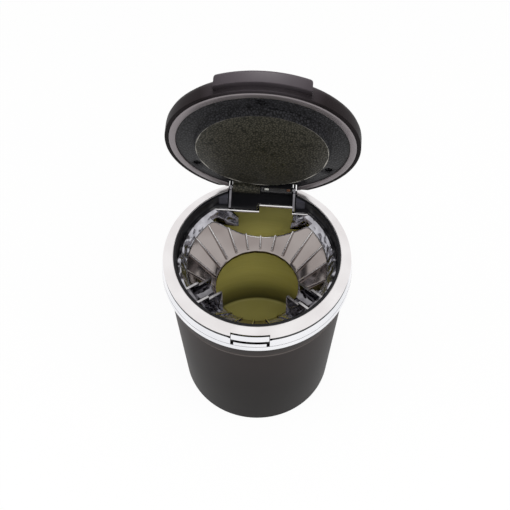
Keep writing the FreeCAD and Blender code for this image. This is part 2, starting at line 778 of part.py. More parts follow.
def lid_cuts(name):
    """The tail behind the hinge and the room for the hinge bay, cut from every round lid piece."""
    tail = box(name + "_tail", ("-lid_radius", "lid_reach + lid_tail", "-lid_height"),
               ("lid_radius", "lid_radius + lid_height", "lid_height * 2"))
    bay = crosswise(name + "_bay", "ear_radius + hinge_gap", "-hinge_bay_x", "hinge_bay_x",
                    "lid_reach", "0")
    return tail, bay


def around_screws(name, radius, low, high):
    """One upright cylinder at each screw, the first at the free end of the lid."""
    drums = []
    for i in range(int(DIMENSIONS["screw_count"])):
        turn = "screw_first_angle + %d * 360 / screw_count" % i
        drums.append(upright("%s_%d" % (name, i), radius, low, high,
                             "screw_circle * cos(%s)" % turn, "screw_circle * sin(%s)" % turn))
    return drums


def lid_shell():
    """Black lid with a crowned top, three screw posts and a raised grip at the free end."""
    dome = turned("lid_dome", [
        ("0", "lid_inner_top_z + lid_crown"),
        ("0", "lid_top_z + lid_crown"),
        ("lid_radius", "lid_top_z"),
        ("lid_radius", "lid_edge_z"),
        ("lid_radius - lid_edge", "lid_edge_z"),
        ("lid_radius - lid_edge", "lid_rebate_z"),
        ("lid_radius - lid_edge - lid_rebate", "lid_rebate_z"),
        ("lid_radius - lid_edge - lid_rebate", "lid_inner_top_z"),
    ])
    round_corner(dome, "dome_fillet", "lid_top_round", 2)
    round_corner(dome, "dome_edge_round", "edge_round", 3)
    grip_ring = turned("grip_ring", [
        ("lid_radius - lid_edge", "lid_z + grip_undercut"),
        ("lid_radius + grip_reach", "lid_z + grip_undercut"),
        ("lid_radius + grip_reach", "lid_top_z"),
        ("lid_radius - lid_top_round", "lid_top_z"),
        ("lid_radius - lid_top_round", "lid_inner_top_z"),
        ("lid_radius - lid_edge", "lid_inner_top_z - lid_wall"),
    ])
    round_corner(grip_ring, "grip_front_round", "grip_round", 2)
    grip_slice = slab("grip_slice", "XZ_Plane", [
        ("-grip_width / 2", "0"),
        ("grip_width / 2", "0"),
        ("grip_width / 2", "lid_top_z"),
        ("-grip_width / 2", "lid_top_z"),
    ], "lid_radius * 2")
    round_end(grip_slice, "grip_corner_round", "grip_round", 2, 3)
    bind(grip_slice, "Placement.Base.y", "-lid_radius - grip_reach")
    grip = shared("grip", grip_ring, grip_slice)
    posts = around_screws("post", "post_radius", "plate_top_z", "lid_inner_top_z + lid_crown")
    pilots = around_screws("pilot", "screw_shank_radius", "plate_top_z - lid_wall",
                           "plate_z + screw_recess + screw_head_height + screw_bite + touch_gap")
    shell = joined("lid_shell_solid", dome, grip, *posts)
    tail, bay = lid_cuts("shell")
    return without("lid_shell", shell, tail, bay, *pilots)


def lid_trim_ring():
    """Grey ring between the lid's edge and its inner plate."""
    ring = turned("lid_ring", [
        ("ring_inner_radius", "lid_z"),
        ("ring_radius", "lid_z"),
        ("ring_radius", "lid_rebate_z"),
        ("ring_inner_radius", "lid_rebate_z"),
    ])
    tail, bay = lid_cuts("ring")
    return without("lid_trim_ring", ring, tail, bay)


def lid_liner_plate():
    """Grained plate with a raised round pad, screw recesses and the left hinge knuckle."""
    plate = turned("plate_round", [
        ("0", "pad_face_z"),
        ("pad_radius - pad_draft", "pad_face_z"),
        ("pad_radius", "plate_z"),
        ("plate_radius", "plate_z"),
        ("plate_radius", "lid_rebate_z"),
        ("plate_radius + plate_flange", "lid_rebate_z"),
        ("plate_radius + plate_flange", "plate_top_z"),
        ("pad_radius - pad_wall", "plate_top_z"),
        ("pad_radius - pad_draft - pad_wall", "pad_back_z"),
        ("0", "pad_back_z"),
    ])
    tail, bay = lid_cuts("plate")
    recesses = around_screws("recess", "screw_head_radius + touch_gap", "-lid_height",
                             "plate_z + screw_recess + screw_head_height")
    holes = around_screws("screw_hole", "screw_shank_radius + touch_gap", "-lid_height", "plate_top_z * 2")
    disc = without("plate_disc", plate, tail, bay)
    tongue = box("tongue", ("-barrel_x", "lid_reach - ear_radius - hinge_gap * 2", "plate_z - plate_step"),
                 ("-lamp_split - touch_gap", "lid_reach", "plate_top_z - plate_step"))
    knuckle = crosswise("knuckle", "barrel_radius", "-barrel_x", "-lamp_split - touch_gap", "lid_reach", "0")
    shelf = box("lamp_shelf_block", ("-lamp_split - touch_gap", "lid_reach - ear_radius - hinge_gap * 2",
                                     "lamp_top_z"),
                ("barrel_x", "lamp_end_y + lamp_depth / 2", "lamp_top_z + lamp_shelf"))
    bore = crosswise("knuckle_bore", "pin_radius + pin_clearance", "-hinge_bay_x", "hinge_bay_x",
                     "lid_reach", "0")
    return without("lid_liner_plate", joined("plate_whole", disc, tongue, knuckle, shelf),
                   bore, *(recesses + holes))


def lid_screws():
    """Three pan-head screws that hold the plate to the shell's posts."""
    head_z = "plate_z + screw_recess"
    neck_z = head_z + " + screw_head_height"
    heads = around_screws("screw_head", "screw_head_radius", head_z, neck_z)
    shanks = around_screws("screw_shank", "screw_shank_radius - touch_gap / 2", neck_z, neck_z + " + screw_bite")
    return joined("lid_screws", *(heads + shanks))


def lamp_housing():
    """Glossy block beside the tongue, with the right hinge knuckle and a slot for the board."""
    block = box("lamp_block", ("-lamp_split + touch_gap", "lamp_end_y", "lamp_front_z"),
                ("barrel_x", "lid_reach", "lamp_top_z"))
    knuckle = crosswise("lamp_knuckle", "barrel_radius", "-lamp_split + touch_gap", "barrel_x",
                        "lid_reach", "0")
    bore = crosswise("lamp_bore", "pin_radius + pin_clearance", "-hinge_bay_x", "hinge_bay_x",
                     "lid_reach", "0")
    slot = box("board_slot", ("-lamp_split + lamp_skin", "lamp_end_y + lamp_skin", "lamp_front_z + lamp_skin"),
               ("barrel_x - lamp_skin", "lid_reach - pin_radius - lamp_skin * 2", "lamp_top_z + lamp_skin"))
    windows = [box(name + "_window", (left + " - touch_gap", "lamp_end_y + lamp_skin + touch_gap", "-lid_height"),
                   (right + " + touch_gap", "lamp_end_y + lamp_skin + led_depth + touch_gap * 3",
                    "lamp_front_z + lamp_skin * 2"))
               for name, left, right in lamp_faces()]
    return without("lamp_housing", joined("lamp_solid", block, knuckle), bore, slot, *windows)


def lamp_faces():
    """Name, left side and right side of the two small pieces that show in the lamp's face."""
    led_left = "-lamp_split + led_inset"
    contact_right = "barrel_x - led_inset / 2"
    return (("led", led_left, led_left + " + led_width"),
            ("contact", contact_right + " - contact_width", contact_right))


def lamp_face_piece(index, label):
    """A small piece on the board that shows through its window in the lamp's face."""
    left, right = lamp_faces()[index][1:]
    block = box(label + "_block", (left, "lamp_end_y + lamp_skin + touch_gap * 2", "lamp_front_z - led_proud"),
                (right, "lamp_end_y + lamp_skin + led_depth + touch_gap * 2", "lamp_front_z + lamp_skin"))
    return carried(label, block)


def lamp_board():
    """Small board in the lamp's slot."""
    block = box("lamp_board_block",
                ("-lamp_split + lamp_skin + touch_gap", "lamp_end_y + lamp_skin + touch_gap",
                 "lamp_front_z + lamp_skin"),
                ("barrel_x - lamp_skin - touch_gap", "lid_reach - pin_radius - lamp_skin * 2 - touch_gap",
                 "lamp_front_z + lamp_skin + board_wall"))
    return carried("lamp_board", block)


def coin_cell():
    """Flat cell in the hollow back of the pad."""
    disc = upright("cell_disc", "cell_radius", "pad_back_z", "pad_back_z + cell_wall", back="cell_shift")
    return carried("coin_cell", disc)


fixed = [outer_cup(), liner_cup(), lower_trim_ring(), upper_trim_ring(), inner_rim(), funnel_insert(),
         hinge_pin(), release_button(), button_spring()]
swung = [lid_shell(), lid_trim_ring(), lid_liner_plate(), lid_screws(), lamp_housing(), lamp_board(),
         lamp_face_piece(0, "lamp_led"), lamp_face_piece(1, "lamp_contact"), coin_cell()]
doc.recompute()
for piece in swung:
    hang(piece)
doc.recompute()

for item in doc.Objects:
    if "Invalid" in item.State or "Error" in item.State:
        raise RuntimeError("%s did not build: %s" % (item.Name, item.State))
for piece in fixed + swung:
    if piece.Shape.isNull() or not piece.Shape.isValid():
        raise RuntimeError("%s has no valid shape" % piece.Label)

os.makedirs("parts", exist_ok=True)
for piece in fixed + swung:
    piece.Shape.exportStep("parts/%s.step" % piece.Label)
    extent = piece.Shape.BoundBox
    print("%-16s %d solids, %8.1f mm3, z %.2f to %.2f" % (
        piece.Label, len(piece.Shape.Solids), piece.Shape.Volume, extent.ZMin, extent.ZMax))
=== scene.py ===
# %% [markdown]
# # A car ashtray for a cup holder, dressed for a product picture
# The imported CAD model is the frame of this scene: every solid already sits where it belongs.
# This lesson turns those solids into pieces with rounded edges and real finishes, adds what
# is too fine for the CAD, and then sets up the light and the camera of the photograph.

# %% Load the frame
import bpy
import bmesh
import math
from mathutils import Matrix, Vector


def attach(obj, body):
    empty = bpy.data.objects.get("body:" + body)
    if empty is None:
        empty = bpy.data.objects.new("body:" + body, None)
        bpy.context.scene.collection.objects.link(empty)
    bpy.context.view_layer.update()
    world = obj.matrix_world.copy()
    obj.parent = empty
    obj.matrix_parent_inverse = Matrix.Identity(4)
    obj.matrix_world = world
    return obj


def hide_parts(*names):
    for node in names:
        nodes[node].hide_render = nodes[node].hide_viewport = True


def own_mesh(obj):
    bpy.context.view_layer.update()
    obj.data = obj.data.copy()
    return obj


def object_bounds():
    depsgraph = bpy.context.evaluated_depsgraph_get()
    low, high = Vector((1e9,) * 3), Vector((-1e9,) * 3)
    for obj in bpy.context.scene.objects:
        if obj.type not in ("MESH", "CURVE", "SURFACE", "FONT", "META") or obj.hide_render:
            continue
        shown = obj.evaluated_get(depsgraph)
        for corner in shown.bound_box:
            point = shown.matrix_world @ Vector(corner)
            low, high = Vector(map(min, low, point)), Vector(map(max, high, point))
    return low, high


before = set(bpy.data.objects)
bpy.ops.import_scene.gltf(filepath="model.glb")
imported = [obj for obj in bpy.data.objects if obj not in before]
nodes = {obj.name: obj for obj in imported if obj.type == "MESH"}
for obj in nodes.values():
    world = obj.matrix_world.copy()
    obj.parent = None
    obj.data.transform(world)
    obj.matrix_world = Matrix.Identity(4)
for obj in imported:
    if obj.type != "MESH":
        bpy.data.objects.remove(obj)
cad_low, cad_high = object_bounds()
MM = 0.001
print("nodes:", len(nodes), "height in mm:", round((cad_high.z - cad_low.z) / MM, 1))

# %% [markdown]
# ## Small tools for materials
# Colours are written as the hex values that a painter would pick on screen. Shaders work in
# linear light, so one function converts them. A second function adds a node, sets its
# properties and fills its inputs, which keeps every material below short. The others make what
# nearly every finish needs: a noise, a ramp of colours, a shade that follows the height and a
# change of gloss. The noise and the gloss show that nothing made by hand or machine is perfectly
# even; the shade that follows the height is painted light and shade.

# %% Tools for materials
def linear(hex_colour):
    """An sRGB hex colour as the linear RGBA that shaders use."""
    channels = []
    for start in (1, 3, 5):
        value = int(hex_colour[start:start + 2], 16) / 255
        channels.append(value / 12.92 if value <= 0.04045 else ((value + 0.055) / 1.055) ** 2.4)
    return (*channels, 1.0)


def add_node(tree, kind, inputs=None, **settings):
    """Add one node, set its properties, and fill or link its inputs."""
    made = tree.nodes.new(kind)
    for key, value in settings.items():
        setattr(made, key, value)
    for key, value in (inputs or {}).items():
        if isinstance(value, bpy.types.NodeSocket):
            tree.links.new(value, made.inputs[key])
        else:
            made.inputs[key].default_value = value
    return made


def new_finish(name, **constants):
    """A material with a Principled shader whose constant inputs are set on its own sockets."""
    material = bpy.data.materials.new(name)
    material.use_nodes = True
    shader = material.node_tree.nodes["Principled BSDF"]
    for key, value in constants.items():
        shader.inputs[key.replace("_", " ")].default_value = value
    return material, material.node_tree, shader


def per_mm(size):
    """Texture scale, in repeats per metre, for a pattern of this size in millimetres."""
    return 1 / (size * MM)


def noise(tree, vector, size_mm, detail):
    """A noise texture with patches of about this size."""
    return add_node(tree, "ShaderNodeTexNoise", {
        "Vector": vector, "Scale": per_mm(size_mm), "Detail": detail})


def colour_ramp(tree, factor, stops):
    """A colour ramp along a factor, from (position, hex colour) pairs."""
    ramp = add_node(tree, "ShaderNodeValToRGB", {"Fac": factor})
    elements = ramp.color_ramp.elements
    while len(elements) < len(stops):
        elements.new(1.0)
    for element, (position, colour) in zip(elements, stops):
        element.position = position
        element.color = linear(colour)
    return ramp


def shade_by_height(tree, place, top_mm, shades):
    """A painted light and shade that follows the height up to a top, from (height in mm, hex colour) pairs.
    """
    split = add_node(tree, "ShaderNodeSeparateXYZ", {"Vector": place})
    level = add_node(tree, "ShaderNodeMapRange", {
        "Value": split.outputs["Z"], "From Max": top_mm * MM})
    stops = [(height / top_mm, colour) for height, colour in shades]
    return colour_ramp(tree, level.outputs["Result"], stops)


def vary_gloss(tree, shader, factor, rough):
    """Let the roughness follow a factor between two values."""
    gloss = add_node(tree, "ShaderNodeMapRange", {
        "Value": factor, "To Min": rough[0], "To Max": rough[1]})
    tree.links.new(gloss.outputs["Result"], shader.inputs["Roughness"])


print("one millimetre of grain needs a texture scale of", per_mm(1.0))

# %% [markdown]
# ## Matte black ABS
# The cup and the lid are moulded in black ABS from a mould with a fine spark texture. That
# texture scatters light, so the black looks like a soft warm charcoal with a broad sheen
# instead of a sharp reflection. Light and shade are painted into the colour as well: the cup is
# painted darker towards its foot as shade, the rounded bead under its shoulder carries a painted
# highlight band, and the lid's grip carries a painted sheen that makes it paler than its back.
# A ramp over the height gives those painted shades, and a little colour drift keeps the surface
# from looking evenly painted.

# %% Moulded ABS with a spark texture
def moulded_abs(name, shades):
    """Spark-textured plastic whose painted light and shade follow the height, from (height in mm, colour)
    pairs.
    """
    material, tree, shader = new_finish(name, Roughness=0.45, Specular_IOR_Level=0.05)
    place = add_node(tree, "ShaderNodeTexCoord").outputs["Object"]
    shade = shade_by_height(tree, place, cad_high.z / MM, shades)
    drift = noise(tree, place, size_mm=18.0, detail=3.0)
    patch = add_node(tree, "ShaderNodeMapRange", {
        "Value": drift.outputs["Fac"], "To Min": 0.8, "To Max": 1.2})
    tint = add_node(tree, "ShaderNodeVectorMath", {
        0: shade.outputs["Color"], 1: patch.outputs["Result"]}, operation="MULTIPLY")
    tree.links.new(tint.outputs[0], shader.inputs["Base Color"])
    # The real sparks are about 0.1 mm across, drawn here at 0.45 mm so that they show at all.
    sparks = noise(tree, place, size_mm=0.45, detail=2.0)
    relief = add_node(tree, "ShaderNodeBump", {
        "Height": sparks.outputs["Fac"], "Strength": 0.2, "Distance": 0.02 * MM})
    tree.links.new(relief.outputs["Normal"], shader.inputs["Normal"])
    return material


# The cup's ramp paints shade, darker towards the foot, and a painted highlight band on the bead under the
# shoulder, from 70.6 to 71.6 mm.
matte_abs = moulded_abs("abs_spark_textured", [
    (0.0, "#0E0A09"), (35.0, "#161110"), (69.8, "#272120"),
    (70.6, "#544E4C"), (71.6, "#544E4C"), (72.0, "#272120")])
# The lid's ramp paints a highlight: a sheen on the grip, at the top of the lid.
lid_abs = moulded_abs("abs_spark_textured_lid", [
    (90.0, "#110D0E"), (158.0, "#120E0F"), (166.0, "#2D292C"), (172.0, "#2D292C")])
print(matte_abs.name, lid_abs.name)

# %% [markdown]
# ## Smooth plastic, paint and small metal parts
# The rim round the funnel comes from a polished mould. It is blacker than the cup and shows a
# dull reflection with faint flow marks. The lid's ring has a grey metallic paint, the lamp is
# glossy black, and the screws are blackened steel. All of them are one recipe: a colour and a
# gloss that drift together in soft patches.

# %% Plain finishes
def plain_finish(name, low_colour, high_colour, rough, patch_mm, detail=3.0, **constants):
    """A finish whose colour and gloss drift between two values in soft patches."""
    material, tree, shader = new_finish(name, **constants)
    place = add_node(tree, "ShaderNodeTexCoord").outputs["Object"]
    patches = noise(tree, place, patch_mm, detail).outputs["Fac"]
    tint = colour_ramp(tree, patches, [(0.0, low_colour), (1.0, high_colour)])
    tree.links.new(tint.outputs["Color"], shader.inputs["Base Color"])
    vary_gloss(tree, shader, patches, rough)
    return material


# Near black with a dull reflection, for the rim, and as painted shade in the wells and gaps of the plated
# parts.
rim_and_gap_shade_abs = plain_finish("abs_polished_mould", "#0C0C0E", "#141417", rough=(0.28, 0.4), patch_mm=9.0,
                       detail=4.0, Specular_IOR_Level=0.25)
# Dark grey with a satin sheen, for the two blocks on the hinge deck.
block_abs = plain_finish("abs_satin_grey", "#2E2E35", "#393940", rough=(0.3, 0.4), patch_mm=3.0)
# A soft metal grey that holds a broad highlight, for the ring inside the lid.
ring_paint = plain_finish("metallic_grey_paint", "#7B7577", "#8C8688", rough=(0.25, 0.35), patch_mm=6.0,
                          Metallic=0.8)
# Piano black with a clear reflection, for the lamp's block.
gloss_black = plain_finish("gloss_black_abs", "#0A0A0B", "#121214", rough=(0.12, 0.22), patch_mm=4.0,
                           Specular_IOR_Level=0.35)
# Almost black metal that only glints, for the screws.
black_screw = plain_finish("blackened_steel", "#161617", "#232326", rough=(0.3, 0.45), patch_mm=1.0,
                           Metallic=0.7)
# A pale, waxy square, for the lamp's lens.
pale_lens = plain_finish("led_lens_epoxy", "#B9BBB4", "#D4D5CE", rough=(0.15, 0.25), patch_mm=1.0)
# A brownish metal spot, for the lamp's contact.
copper = plain_finish("copper_contact", "#9A6A50", "#B98768", rough=(0.25, 0.4), patch_mm=1.0, Metallic=1.0)
# Clean grey metal, for the pin, the spring and the cell.
pin_steel = plain_finish("bright_steel", "#A9A9AB", "#BDBDC0", rough=(0.2, 0.32), patch_mm=2.0, Metallic=1.0)
# Dull green, for the lamp's board, which is hidden inside.
board_resin = plain_finish("green_board_resin", "#1E4A2C", "#28593A", rough=(0.35, 0.5), patch_mm=2.0)
# The edge of the lid's pad, with a painted highlight that is pale low down and fades upwards.
pad_edge_highlight = moulded_abs("abs_pad_edge_painted_highlight", [(100.0, "#B4B1A9"), (130.0, "#8A8781"), (150.0, "#3C3A37")])
print("plain finishes:", rim_and_gap_shade_abs.name, ring_paint.name, gloss_black.name, black_screw.name)

# %% [markdown]
# ## Plated plastic
# The bright bands and the funnel are chrome-plated ABS. Plating follows the small waves of the
# moulding, and a very shallow bump shows that. The funnel's facets are probably a little hollow
# on the real piece, since they mirror more of what is above them than flat ones would. Such
# slight hollows are not worth the triangles, so the shader tilts the normal of two of these
# finishes upwards before it adds the waves.

# %% Chrome in seven kinds
def chrome(name, low_colour, high_colour, rough, wave_mm, wave_height_mm, lift=0.0):
    """Plated plastic with waves, whose slopes can mirror more of what is above."""
    material, tree, shader = new_finish(name, Metallic=1.0)
    place = add_node(tree, "ShaderNodeTexCoord").outputs["Object"]
    waves = noise(tree, place, wave_mm, detail=0.5).outputs["Fac"]
    tint = colour_ramp(tree, waves, [(0.35, low_colour), (0.65, high_colour)])
    tree.links.new(tint.outputs["Color"], shader.inputs["Base Color"])
    vary_gloss(tree, shader, waves, rough)
    facing = add_node(tree, "ShaderNodeNewGeometry")
    lifted = add_node(tree, "ShaderNodeVectorMath", {
        0: facing.outputs["Normal"], 1: (0.0, 0.0, lift)}, operation="ADD")
    unit = add_node(tree, "ShaderNodeVectorMath", {0: lifted.outputs[0]}, operation="NORMALIZE")
    relief = add_node(tree, "ShaderNodeBump", {
        "Height": waves, "Strength": 1.0, "Distance": wave_height_mm * MM, "Normal": unit.outputs[0]})
    tree.links.new(relief.outputs["Normal"], shader.inputs["Normal"])
    return material


# A cool, sharp mirror, for the lower band and the button.
bright_chrome = chrome("chrome_plated_abs", "#E9EAEE", "#F4F4F7", rough=(0.06, 0.14),
                       wave_mm=14.0, wave_height_mm=0.03)
# Softer and a touch warmer, because the mould of the bevel is satin under the same chrome.
satin_chrome = chrome("satin_chrome_abs", "#E6E2E2", "#EFECEC", rough=(0.26, 0.36),
                      wave_mm=10.0, wave_height_mm=0.02)
# A warm grey mirror, for the facets of the funnel.
mirror_chrome = chrome("mirror_plated_funnel", "#938A87", "#A29A97", rough=(0.09, 0.13),
                       wave_mm=12.0, wave_height_mm=0.006, lift=0.4)
# A restless sparkle, for the collar, the rear panels and the front facets, which look crinkled.
# The waves are drawn coarser and deeper than real ones could be, so that they show at all.
crinkled_chrome = chrome("mirror_plated_crinkle", "#A3A2A8", "#BDBCC2", rough=(0.12, 0.2),
                         wave_mm=3.4, wave_height_mm=0.7, lift=0.4)
# Plating painted darker, for the insides of the rests and the ear fronts, a painted dark reflection, and for
# the band's crease, a painted shade.
painted_dark_chrome = chrome("mirror_plated_rest", "#6A686C", "#848286", rough=(0.05, 0.12),
                     wave_mm=2.4, wave_height_mm=0.25)
# Paler again, for the tops of the rests' walls.
rest_edge_chrome = chrome("mirror_plated_rest_edge", "#ACA9AA", "#C4C1C2", rough=(0.1, 0.16),
                          wave_mm=3.0, wave_height_mm=0.05)
# Nearly white, for crests and ridges that catch the light as thin lines.
crest_chrome = chrome("mirror_plated_crest", "#EFECEC", "#F7F5F5", rough=(0.1, 0.16),
                      wave_mm=6.0, wave_height_mm=0.004)
print("plated finishes:", bright_chrome.name, satin_chrome.name, mirror_chrome.name)

# %% [markdown]
# ## Gold lacquered steel
# The can inside is thin steel with a yellow-olive lacquer. The metal shines through the lacquer,
# so the wall shows broad soft bands instead of a flat colour, with fine drawing marks round the
# wall. Shade is painted into its colour: it is painted dark at its foot and under the funnel's
# collar, and its floor, which gets little light, is painted darker too.

# %% Lacquered steel can
CAN_TOP = 84.0
gold_lacquer, tree, shader = new_finish("olive_lacquered_steel", Metallic=0.1)
place = add_node(tree, "ShaderNodeTexCoord").outputs["Object"]
# Squeezing the noise along the height turns its patches into marks round the wall.
squeeze = add_node(tree, "ShaderNodeMapping", {"Vector": place, "Scale": (1.0, 1.0, 14.0)})
marks = noise(tree, squeeze.outputs["Vector"], size_mm=12.0, detail=4.0).outputs["Fac"]
tint = colour_ramp(tree, marks, [(0.25, "#E4DB7E"), (0.75, "#EEE68C")])
# Painted shade by height: dark at the foot and on the floor, full colour up the wall, and darker again under
# the funnel's collar.
shade = shade_by_height(tree, place, CAN_TOP, [
    (3.6, "#BFBFBF"), (4.4, "#525252"), (12.0, "#949494"), (20.0, "#E2E2E2"), (28.0, "#FFFFFF"),
    (54.0, "#FFFFFF"), (68.0, "#B4B4B4")])
# In a Mix node that mixes colours, inputs 6 and 7 are the two colours and output 2 is the result.
lit = add_node(tree, "ShaderNodeMix", {
    "Factor": 1.0, 6: tint.outputs["Color"], 7: shade.outputs["Color"]},
    data_type="RGBA", blend_type="MULTIPLY")
tree.links.new(lit.outputs[2], shader.inputs["Base Color"])
vary_gloss(tree, shader, marks, rough=(0.36, 0.48))
print(gold_lacquer.name, len(tree.nodes), "nodes")

# %% [markdown]
# ## Leather-grained plate
# The inside of the lid is black plastic with a leather grain: small raised cells about a
# millimetre wide, with dark creases between them. The pad and the hinge tongue have the same
# grain in a slightly olive black. The distance to the edge of a Voronoi cell is nought in the
# creases, so it drives both the colour and the bump, and noise bends the cells so that they do
# not look like a mesh.

# %% Grained black plastic
GRAIN_BEND = 0.0006  # metres, since the noise runs from nought to one


def grained(name, crease, cell):
    """Black plastic with a leather grain, in the colour of its creases and of its cells."""
    material, tree, shader = new_finish(name, Roughness=0.3, Specular_IOR_Level=0.11)
    place = add_node(tree, "ShaderNodeTexCoord").outputs["Object"]
    bend = noise(tree, place, size_mm=1.6, detail=2.0)
    bent = add_node(tree, "ShaderNodeMix", {
        "Factor": GRAIN_BEND, "A": place, "B": bend.outputs["Color"]}, data_type="VECTOR")
    cells = add_node(tree, "ShaderNodeTexVoronoi", {
        "Vector": bent.outputs["Result"], "Scale": per_mm(1.2)}, feature="DISTANCE_TO_EDGE")
    tint = colour_ramp(tree, cells.outputs["Distance"], [(0.05, crease), (0.2, cell)])
    tree.links.new(tint.outputs["Color"], shader.inputs["Base Color"])
    relief = add_node(tree, "ShaderNodeBump", {
        "Height": cells.outputs["Distance"], "Strength": 1.0, "Distance": 0.15 * MM})
    tree.links.new(relief.outputs["Normal"], shader.inputs["Normal"])
    return material


grained_abs = grained("abs_leather_grain", "#020203", "#232326")
pad_abs = grained("abs_leather_grain_pad", "#1A1A15", "#3C3A32")
print(grained_abs.name, pad_abs.name)

# %% [markdown]
# ## Turned pieces
# The cup, the can, the bands and the lid are all shapes of revolution, as if turned on a lathe.
# Blender has a Spin tool and a Screw modifier for that. Here a short function does it, because
# then each corner of the section can carry its own edge round. Real moulded and stamped edges
# are slightly round, and that small round catches a line of light.

# %% The lathe
ARC_STEPS = 5


def rounded_section(corners):
    """Corners of (radius, height, round) as points, with an arc at every corner that has a round."""
    points = []
    for i, (radius, height, size) in enumerate(corners):
        here = Vector((radius, height))
        if not size:
            points.append(here)
            continue
        before = (Vector(corners[i - 1][:2]) - here).normalized()
        after = (Vector(corners[(i + 1) % len(corners)][:2]) - here).normalized()
        half_angle = before.angle(after) / 2
        run = size / math.tan(half_angle)
        centre = here + (before + after).normalized() * (size / math.sin(half_angle))
        first = here + before * run - centre
        last = here + after * run - centre
        for k in range(ARC_STEPS + 1):
            points.append(centre + first.lerp(last, k / ARC_STEPS).normalized() * size)
    return points


def piece_from(name, work):
    """A new object in the scene from a finished bmesh."""
    mesh = bpy.data.meshes.new(name)
    work.to_mesh(mesh)
    work.free()
    piece = bpy.data.objects.new(name, mesh)
    bpy.context.scene.collection.objects.link(piece)
    return piece


def turned_piece(name, corners, spokes=192):
    """A closed half section in millimetres, spun round the vertical axis."""
    section = rounded_section(corners)
    work = bmesh.new()
    rings = []
    for i in range(spokes):
        angle = 2 * math.pi * i / spokes
        across, along = math.cos(angle) * MM, math.sin(angle) * MM
        rings.append([work.verts.new((p.x * across, p.x * along, p.y * MM)) for p in section])
    for i in range(spokes):
        here, there = rings[i], rings[(i + 1) % spokes]
        for k in range(len(section)):
            upper = (k + 1) % len(section)
            work.faces.new((here[k], there[k], there[upper], here[upper]))
    # Points on the axis fall together here, and the edge that is left along it has no face.
    bmesh.ops.remove_doubles(work, verts=work.verts, dist=0.001 * MM)
    axis_edges = [edge for edge in work.edges if not edge.link_faces]
    bmesh.ops.delete(work, geom=axis_edges, context="EDGES")
    bmesh.ops.recalc_face_normals(work, faces=work.faces)
    return piece_from(name, work)


print("points on one rounded corner:", ARC_STEPS + 1)

# %% [markdown]
# ## Cutting, rounding and handing over
# Windows, slots and notches are cut with booleans. A boolean or bevel modifier could stay live,
# but here each one is applied at once, so that every piece is a plain mesh. The last two tools
# finish a piece: one shades it and ties it to its CAD body, and the other gives some of its
# faces another finish, chosen by where they are.

# %% Tools for pieces
def block(low, high):
    """A box between two corners in millimetres, to cut with."""
    work = bmesh.new()
    bmesh.ops.create_cube(work, size=1.0)
    for vert in work.verts:
        vert.co = [((a + b) / 2 + (b - a) * c) * MM for a, b, c in zip(low, high, vert.co)]
    return piece_from("cutter", work)


def plain_mesh(piece):
    """Replace a piece's mesh by what its modifiers make of it, and remove them."""
    graph = bpy.context.evaluated_depsgraph_get()
    made = bpy.data.meshes.new_from_object(piece.evaluated_get(graph))
    piece.modifiers.clear()
    piece.data = made


def combine(piece, operation, *others):
    """Boolean a piece with others, which are used up."""
    for other in others:
        step = piece.modifiers.new(operation.lower(), "BOOLEAN")
        step.operation = operation
        step.solver = "EXACT"
        step.object = other
    plain_mesh(piece)
    for other in others:
        bpy.data.objects.remove(other)
    return piece


def round_edges(piece, edge_mm, steps=2, turn=35.0):
    """Bevel every edge that turns more sharply than this."""
    rounding = piece.modifiers.new("edge_round", "BEVEL")
    rounding.width = edge_mm * MM
    rounding.segments = steps
    rounding.limit_method = "ANGLE"
    rounding.angle_limit = math.radians(turn)
    plain_mesh(piece)


def hand_over(piece, material, body, slot, *stands_for, turn=35.0):
    """Shade a piece, give it its finish, tie it to its CAD body and hide the nodes it stands for."""
    for face in piece.data.polygons:
        face.use_smooth = True
    piece.data.set_sharp_from_angle(angle=math.radians(turn))
    piece.data.materials.clear()
    piece.data.materials.append(material)
    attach(piece, body)
    if stands_for:
        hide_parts(*stands_for)
    print(piece.name, len(piece.data.polygons), "faces")


def paint_faces(piece, choose, *finishes, drawn=Matrix()):
    """Add finishes to a piece, and choose each face's number from its middle in mm and its normal."""
    for finish in finishes:
        piece.data.materials.append(finish)
    for face in piece.data.polygons:
        face.material_index = choose(drawn @ face.center / MM, face.normal)


print("tools ready for", len(nodes), "nodes")

# %% [markdown]
# ## Cup and can
# The cup is one thin moulding: a taper, a small bead, a flared shoulder and a collar that the
# can's rim rests on. The can is drawn from sheet steel and hangs inside the cup by its flange.
# Both are sections for the lathe, listed as corners of radius, height and edge round.

# %% Cup and can
SHOULDER_TOP, COLLAR_TOP, CUP_FLOOR = 80.0, 83.4, 2.6
COLLAR_OUT, COLLAR_IN = 38.4, 36.4
CAN_FOOT, CAN_FLOOR, FLANGE_OUT = 2.9, 3.5, 38.2
cup = turned_piece("cup", [
    (0, 0, 0), (34.0, 0, 2.0),
    (38.48, 70.2, 0.3), (38.85, 71.1, 0.3), (38.55, 71.9, 0.05), (39.0, 72.4, 0.3),
    (40.4, SHOULDER_TOP, 0.3), (COLLAR_OUT, SHOULDER_TOP, 0),
    (COLLAR_OUT, COLLAR_TOP, 0.3), (COLLAR_IN, COLLAR_TOP, 0.3),
    (32.0, CUP_FLOOR, 1.5), (0, CUP_FLOOR, 0)])
hand_over(cup, matte_abs, "base", "black_plastic", "outer_cup")
can = turned_piece("can", [
    (0, CAN_FOOT, 0), (31.7, CAN_FOOT, 2.0), (36.1, COLLAR_TOP, 0),
    (FLANGE_OUT, COLLAR_TOP, 0.1), (FLANGE_OUT, CAN_TOP, 0.1), (35.5, CAN_TOP, 0.3),
    (31.1, CAN_FLOOR, 1.4), (0, CAN_FLOOR, 0)])
hand_over(can, gold_lacquer, "base", "gold_liner", "liner_cup")

